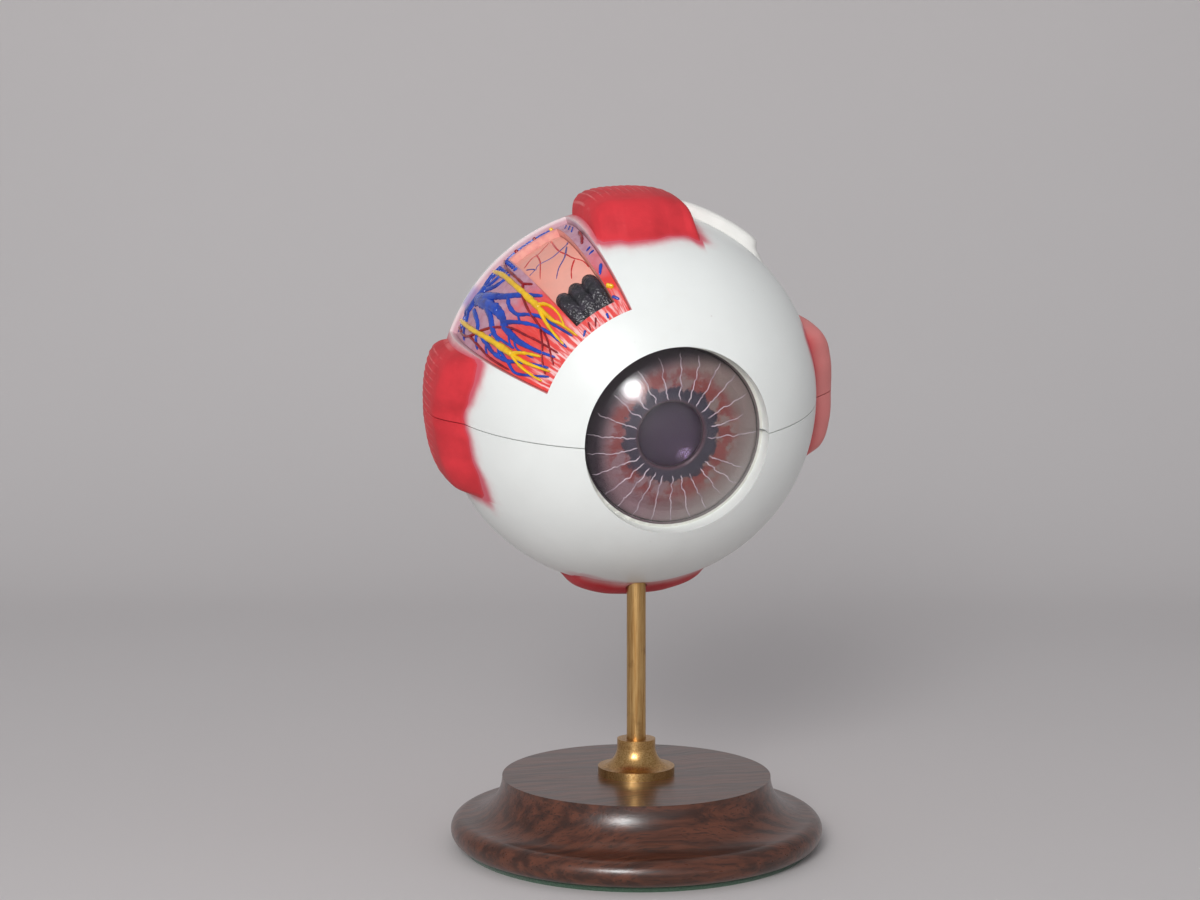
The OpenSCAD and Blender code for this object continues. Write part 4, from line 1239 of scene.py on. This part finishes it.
class EYE_OT_pleats(bpy.types.Operator):
    """Build the black pleated band at the front of the recess"""

    bl_idname = "eye.pleats"
    bl_label = "Black pleats"

    def execute(self, context):
        sizes, colours = settings(context)
        seat = window_layers(sizes)[1]
        rows, columns = 60, 90
        side_gap = 0.35
        low, high = RECESS[2] + side_gap, RECESS[3] - side_gap
        lobes = 3.0
        front = 48.0
        rear_edge = 60.6
        lobe_reach = 3.0
        rear_slant = 1.2
        shape = bmesh.new()
        rings = []
        for i in range(rows + 1):
            top, under = [], []
            for j in range(columns + 1):
                across = j / columns
                azimuth = low + (high - low) * across
                fold = across * lobes
                lobe = abs(math.sin(math.pi * fold)) ** 0.55
                rear = rear_edge + lobe_reach * lobe - rear_slant * across
                along = i / rows
                polar = front + (rear - front) * along
                swell = math.sin(math.pi * min(1.0, 0.1 + along * 0.9)) ** 0.5
                swell *= min(1.0, (1 - along) * 5 + 0.02) ** 0.5
                height = sizes.pleat_height * swell * (0.5 + 0.5 * lobe)
                way = direction(polar, azimuth)
                height += noise.noise(way * 90) * 0.25 * MM + noise.noise(way * 240) * 0.14 * MM
                top.append(way * (seat + max(0.1 * MM, height)))
                under.append(way * (seat + 0.02 * MM))
            rings.append(top + under[::-1])
        loft(shape, rings)
        add_piece("black_pleats", shape, "cap", [pleat_paint(colours)], ["pigment_pleats"])
        return {"FINISHED"}


class EYE_OT_muscles(bpy.types.Operator):
    """Build the four straight muscles, the tendon and the lower oblique muscle"""

    bl_idname = "eye.muscles"
    bl_label = "Muscles"

    def execute(self, context):
        sizes, colours = settings(context)
        for key in ("superior", "inferior"):
            material = muscle_paint(colours, sizes, key)
            piece = add_piece(key + "_muscle", muscle_shape(key, sizes),
                              "cap" if key == "superior" else "eyeball", [material],
                              [key + "_rectus"])
            if key == "inferior":
                low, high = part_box("rod")
                bore_hole(piece, (high.x - low.x) / 2 + 0.25 * MM, BALL_CENTRE.z)
        for key in ("medial", "lateral"):
            material = muscle_paint(colours, sizes, key)
            for upper in (True, False):
                half = "upper" if upper else "lower"
                shape = muscle_shape(key, sizes)
                cut_at_seam(shape, upper)
                add_piece(key + "_muscle_" + half, shape, "cap" if upper else "eyeball",
                          [material], [key + "_rectus_" + half],
                          round_by=0.12 * MM)
        oblique = hand_made("oblique muscle paint", colours.muscle, 0.1)
        add_piece("lower_oblique_muscle", stump_shape((116, 318), 13, 24, 4.2), "eyeball",
                  [oblique], ["inferior_oblique"])
        tendon = hand_made("tendon white paint", colours.tendon, 0.03)
        shape = stump_shape((95, 60), 13, 30, 4.2, soft=1.5, flare=6.0, turn=18)
        turn = math.radians(MUSCLES["superior"].azimuth)
        half = (MUSCLES["superior"].width / 2 - 0.8) * MM
        away = Vector((math.sin(turn), -math.cos(turn), 0))
        keep_beyond(shape, away * half, away)
        add_piece("upper_oblique_tendon", shape, "cap", [tendon],
                  ["superior_oblique_tendon"])
        return {"FINISHED"}


def hand_made(name, colour, spread_by):
    """Plain brushed paint of one colour."""
    paint = Paint(name, 0.36)
    paint.feed("Base Color", hand_paint(paint, colour, spread_by, 9 * MM, 0.36, 0.05 * MM))
    return paint.material


class EYE_OT_front(bpy.types.Operator):
    """Build the painted iris and the clear cornea, lens and vitreous body"""

    bl_idname = "eye.front"
    bl_label = "Iris and clear parts"

    def execute(self, context):
        sizes, colours = settings(context)
        self.iris(sizes, colours)
        self.clear_parts(sizes)
        return {"FINISHED"}

    def iris_lift(self, out, pupil):
        """Height of the iris's raised inner ring at a distance from the gaze."""
        ring = 0.45 * MM * (1 - ease((out - 13.5 * MM) / (2.5 * MM)))
        lip = max(0.0, 1 - (out - pupil) / (0.9 * MM))
        return ring - 0.45 * MM * lip * lip

    def iris(self, sizes, colours):
        rim = sizes.opening_radius - 0.5 * MM
        pupil = sizes.pupil_radius
        front, back = 45.81 * MM, 44.21 * MM
        outs = spread(pupil, rim - 0.2 * MM, 0.35 * MM)
        profile = [(out, front + self.iris_lift(out, pupil)) for out in outs]
        profile += [(rim, front - 0.2 * MM), (rim, back + 0.1 * MM), (rim - 0.1 * MM, back),
                    (pupil + 0.5 * MM, back), (pupil, back + 0.4 * MM)]
        shape = bmesh.new()
        lathe(shape, profile, 160)
        add_piece("painted_iris", shape, "front_unit", [iris_paint(colours)], ["iris"])
        white = enamel("iris line white", screen_colour(196, 184, 190),
                       screen_colour(140, 124, 134))
        shape = bmesh.new()
        for number, (near, turn_a, far, turn_b) in enumerate(IRIS_LINES):
            spots, widths = [], []
            steps = 26
            for i in range(steps + 1):
                share = i / steps
                out = (near + (far - near) * share) * MM
                shake = noise.noise(Vector((number * 3.7, out * 430, 0))) * 0.7 * MM
                shake += noise.noise(Vector((number * 1.3, out * 1500, 5))) * 0.34 * MM
                turn = math.radians(turn_a + (turn_b - turn_a) * share) + shake / out
                height = front + self.iris_lift(out, pupil)
                spots.append(Vector((out * math.cos(turn), out * math.sin(turn), height)))
                thin = 1.15 - 0.55 * share + 0.3 * noise.noise(Vector((number, out * 600, 9)))
                widths.append(sizes.iris_line_width * thin)
            ribbon(shape, spots, [Vector((0, 0, 1))] * len(spots), widths, 0.14 * MM, 4)
        add_piece("iris_white_lines", shape, "front_unit", [white])

    def clear_parts(self, sizes):
        rim = sizes.opening_radius - 0.5 * MM
        foot = 47.16 * MM
        dome = 39 * MM
        wall = 1.6 * MM
        skirt = 45.96 * MM
        centre = foot - math.sqrt(dome * dome - rim * rim)
        outside = arc(dome, centre, 0, rim, 44)
        inside = arc(dome - wall, centre, 0, rim - wall, 44)
        profile = outside + [(rim, skirt + 0.15 * MM), (rim - 0.15 * MM, skirt),
                             (rim - wall, skirt)] + inside[::-1]
        shape = bmesh.new()
        lathe(shape, profile, 160)
        add_piece("clear_cornea", shape, "front_unit",
                  [clear_plastic("cornea acrylic", (0.96, 0.955, 0.97), 1.28, 0.3)], ["cornea"])
        low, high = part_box("lens")
        edge = (high.x - low.x) / 2
        top = 43.21 * MM
        front_r = 50 * MM
        back_r = 30 * MM
        edge_thick = 2 * MM
        front_c = top - front_r
        edge_z = front_c + math.sqrt(front_r ** 2 - edge ** 2)
        rear_z = edge_z - edge_thick
        back_c = rear_z + math.sqrt(back_r ** 2 - edge ** 2)
        front_arc = arc(front_r, front_c, 0, edge - 0.1 * MM, 30)
        back_arc = [(out, 2 * back_c - height)
                    for out, height in arc(back_r, back_c, 0, edge - 0.1 * MM, 30)]
        profile = front_arc + [(edge, edge_z - 0.1 * MM), (edge, rear_z + 0.1 * MM)]
        profile += back_arc[::-1]
        shape = bmesh.new()
        lathe(shape, profile, 128)
        add_piece("clear_lens", shape, "lens",
                  [clear_plastic("lens acrylic", (0.82, 0.6, 0.9), 1.26, clear=0.955)], ["lens"])
        self.vitreous(sizes, back_c)

    def vitreous(self, sizes, back_c):
        """Hollow clear body with a dish in front for the lens."""
        outer = BALL_R - sizes.shell_wall - sizes.choroid_wall - sizes.retina_wall
        outer -= 2 * BOND + 0.3 * MM
        front = 33.35 * MM
        wall = 2 * MM
        dish = 30.3 * MM
        shape = bmesh.new()
        for thick in (0, wall):
            radius = outer - thick
            face = front - thick
            cup = dish + thick
            lip = math.sqrt(cup ** 2 - (back_c - face) ** 2)
            rim = math.sqrt(radius ** 2 - face ** 2)
            bowl = [(out, 2 * back_c - height) for out, height in arc(cup, back_c, 0, lip, 24)]
            turn = math.acos(face / radius)
            ball = []
            for i in range(49):
                at = turn + (math.pi - turn) * i / 48
                ball.append((radius * math.sin(at), radius * math.cos(at)))
            profile = bowl + [(lip + (rim - lip) * share / 6, face) for share in range(1, 6)]
            profile += ball
            lathe(shape, profile, 128, closed=False)
        add_piece("clear_vitreous", shape, "vitreous",
                  [clear_plastic("vitreous acrylic", (0.93, 0.9, 0.95), 1.08)], ["vitreous_body"])


def arc(radius, centre, start, end, steps):
    """Points (distance from the gaze, height) on a dome from one distance to another."""
    a, b = math.asin(start / radius), math.asin(end / radius)
    points = []
    for i in range(steps + 1):
        at = a + (b - a) * i / steps
        points.append((radius * math.sin(at), centre + radius * math.cos(at)))
    return points


class EYE_OT_nerve(bpy.types.Operator):
    """Build the optic nerve and its sheath at the back of the ball"""

    bl_idname = "eye.nerve"
    bl_label = "Optic nerve"

    def execute(self, context):
        colours = context.scene.eye_colours
        nerve = hand_made("optic nerve paint", colours.optic, 0.08)
        sheath = hand_made("nerve sheath paint", colours.tendon, 0.04)
        turn = Matrix.Rotation(math.radians(180), 4, "Z") @ Matrix.Rotation(
            math.radians(NERVE_POLAR), 4, "Y")
        start = BALL_R - 2 * MM
        for upper in (True, False):
            half = "upper" if upper else "lower"
            body = "cap" if upper else "eyeball"
            for name, material, profile, node, slot_name in (
                ("optic_nerve_", nerve, self.nerve_side(start), "optic_nerve_",
                 "pale_yellow_paint"),
                ("nerve_sheath_", sheath, self.sheath_side(start), "optic_sheath_",
                 "tendon_white"),
            ):
                shape = bmesh.new()
                lathe(shape, profile, 96, closed=node != "optic_nerve_")
                bmesh.ops.remove_doubles(shape, verts=shape.verts, dist=WELD)
                bmesh.ops.transform(shape, matrix=turn, verts=shape.verts)
                cut_at_seam(shape, upper)
                add_piece(name + half + "_half", shape, body, [material], [node + half],
                          round_by=0.2 * MM)
        return {"FINISHED"}

    def nerve_side(self, start):
        """Side view of the nerve: bundles show as rings of small mounds on its cut end."""
        end = BALL_R + 14.5 * MM
        radius = 7.4 * MM
        profile = [(0, start), (radius, start), (radius, end - 0.5 * MM),
                   (radius - 0.5 * MM, end)]
        for out in (6.2, 5.2, 4.2, 3.2, 2.2, 1.4):
            dip = 0.25 * MM if out in (5.2, 3.2, 1.4) else 0
            profile.append((out * MM, end - dip))
        profile.append((0, end))
        return profile

    def sheath_side(self, start):
        inner, outer = 7.6 * MM, 10.05 * MM
        end = BALL_R + 13 * MM
        profile = [(inner, start), (outer, start)]
        for i in range(1, 12):
            at = start + (end - start) * i / 12
            flare = 0.9 * MM * (1 - ease((at - BALL_R) / (5 * MM)))
            profile.append((outer - 0.3 * MM + min(0.3 * MM, flare), at))
        profile += [(outer - 0.3 * MM, end - 0.5 * MM), (outer - 0.8 * MM, end),
                    (inner + 0.3 * MM, end), (inner, end - 0.3 * MM)]
        return profile


class EYE_OT_stand(bpy.types.Operator):
    """Finish the wooden base, the brass rod and the metal pieces"""

    bl_idname = "eye.stand"
    bl_label = "Stand and pins"

    def execute(self, context):
        colours = context.scene.eye_colours
        rod = brass(colours, "drawn brass")
        turned = brass(colours, "turned brass", (1, 1, 1))
        weight = steel(colours)
        folds = ciliary_paint()
        finish = {
            "base": turned_wood(colours), "base_felt": felt_cloth(colours),
            "base_weight": weight, "washer": weight, "nut": turned, "ferrule": turned,
            "rod": rod, "rod_socket": turned, "seam_pin_right": turned,
            "seam_pin_left": turned, "seam_pin_back": turned,
            "ciliary_upper": folds, "ciliary_lower": folds,
        }
        for node, material in finish.items():
            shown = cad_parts[node]
            shown.data.materials.clear()
            shown.data.materials.append(material)
        return {"FINISHED"}


def ciliary_paint():
    """Dark red-brown paint on the folds round the lens."""
    paint = Paint("ciliary fold paint", 0.42)
    cloud = paint.noise(4 * MM, 4)
    tone = paint.mix(cloud.above(0.35, 0.7), screen_colour(74, 30, 28),
                     screen_colour(120, 48, 42))
    paint.feed("Base Color", tone)
    paint.bump(cloud, 0.1 * MM)
    return paint.material


class EYE_OT_stage(bpy.types.Operator):
    """Set the camera, the lamps, and the floor that sweeps up into a backdrop"""

    bl_idname = "eye.stage"
    bl_label = "Stage"

    def execute(self, context):
        scene = context.scene
        colours = scene.eye_colours
        scene.view_settings.view_transform = "Standard"
        # The camera stands level: its own right, its way back from the ball, and up
        right = Vector((0.961, -0.277, 0))
        back = Vector((-0.277, -0.961, 0))
        up = Vector((0, 0, 1))
        left_by = 8.6
        above_by = 18.8
        away_by = 599.6
        at = BALL_CENTRE - (right * left_by - up * above_by - back * away_by) * MM
        camera = bpy.data.objects.new("camera", bpy.data.cameras.new("camera"))
        scene.collection.objects.link(camera)
        turn = Matrix((right, up, back)).transposed().to_4x4()
        camera.matrix_world = Matrix.Translation(at) @ turn
        camera.data.sensor_width = 36
        camera.data.lens = 56.4
        camera.data.shift_y = -0.0954
        camera.data.clip_start = 0.02
        scene.camera = camera
        self.lamps(scene, right, back, up)
        self.backdrop(scene, colours, right, back)
        return {"FINISHED"}

    def lamps(self, scene, right, back, up):
        def lamp(name, way, distance, radius, power):
            data = bpy.data.lights.new(name, "AREA")
            data.shape = "DISK"
            data.size = 2 * radius
            data.energy = power
            item = bpy.data.objects.new(name, data)
            scene.collection.objects.link(item)
            towards = (right * way[0] + up * way[1] + back * way[2]).normalized()
            item.location = BALL_CENTRE + towards * distance
            item.rotation_mode = "QUATERNION"
            item.rotation_quaternion = towards.to_track_quat("Z", "Y")

        # Disks one behind another make one lamp that is brightest in the middle
        for number, (size, power) in enumerate(
                ((0.2, 5.5), (0.27, 3.2), (0.35, 2.5), (0.46, 2.0), (0.8, 2.6))):
            lamp("key lamp %d" % (number + 1), (-0.2, 0.36, 0.91), 1.5 + number * 0.01, size,
                 power)
        lamp("front fill", (0.3, -0.1, 0.95), 1.6, 0.7, 1.6)
        world = bpy.data.worlds.new("soft room")
        scene.world = world
        world.use_nodes = True
        light = world.node_tree.nodes["Background"]
        light.inputs["Color"].default_value = (0.94, 0.95, 1.0, 1)
        light.inputs["Strength"].default_value = 0.36

    def backdrop(self, scene, colours, right, back):
        """Floor behind, under and beside the model, curving up into a wall."""
        paint = Paint("backdrop paper", 0.9, on_eye=False)
        cloud = paint.noise(400 * MM, 2)
        dark = tuple(part * 0.94 for part in colours.backdrop)
        paint.feed("Base Color", paint.mix(cloud, colours.backdrop, dark))
        shape = bmesh.new()
        rings = []
        for i in range(65):
            share = i / 64
            if share < 0.4:
                depth, height = -2.2 + 2.7 * share / 0.4, 0.0
            elif share < 0.7:
                turn = (share - 0.4) / 0.3 * math.pi / 2
                depth, height = 0.5 + 0.4 * math.sin(turn), 0.4 * (1 - math.cos(turn))
            else:
                depth, height = 0.9, 0.4 + 2.2 * (share - 0.7) / 0.3
            ring = []
            for j in range(25):
                across = -3 + 6 * j / 24
                ring.append(-back * depth + right * across + Vector((0, 0, height)))
            rings.append(ring)
        loft(shape, rings, closed=False, ends=False)
        mesh = bpy.data.meshes.new("backdrop")
        shape.to_mesh(mesh)
        shape.free()
        mesh.shade_smooth()
        mesh.materials.append(paint.material)
        sweep = bpy.data.objects.new("backdrop", mesh)
        scene.collection.objects.link(sweep)


class EYE_PT_panel(bpy.types.Panel):
    """Buttons and settings of the model eye"""

    bl_idname = "EYE_PT_panel"
    bl_label = "Eye Model"
    bl_space_type = "VIEW_3D"
    bl_region_type = "UI"
    bl_category = "Eye Model"

    def draw(self, context):
        for operator in OPERATORS:
            self.layout.operator(operator.bl_idname)
        for group in (context.scene.eye_sizes, context.scene.eye_colours):
            box = self.layout.box()
            for name in group.bl_rna.properties.keys():
                if name not in ("rna_type", "name"):
                    box.prop(group, name)


OPERATORS = (EYE_OT_shell, EYE_OT_layers, EYE_OT_vessels, EYE_OT_pleats, EYE_OT_muscles,
             EYE_OT_front, EYE_OT_nerve, EYE_OT_stand, EYE_OT_stage)


def register():
    for group in (EyeSizes, EyeColours, *OPERATORS, EYE_PT_panel):
        bpy.utils.register_class(group)
    bpy.types.Scene.eye_sizes = bpy.props.PointerProperty(type=EyeSizes)
    bpy.types.Scene.eye_colours = bpy.props.PointerProperty(type=EyeColours)


def unregister():
    del bpy.types.Scene.eye_colours
    del bpy.types.Scene.eye_sizes
    for group in reversed((EyeSizes, EyeColours, *OPERATORS, EYE_PT_panel)):
        bpy.utils.unregister_class(group)


def main():
    register()
    bpy.ops.eye.shell()
    bpy.ops.eye.layers()
    bpy.ops.eye.vessels()
    bpy.ops.eye.pleats()
    bpy.ops.eye.muscles()
    bpy.ops.eye.front()
    bpy.ops.eye.nerve()
    bpy.ops.eye.stand()
    bpy.ops.eye.stage()


if __name__ == "__main__":
    main()
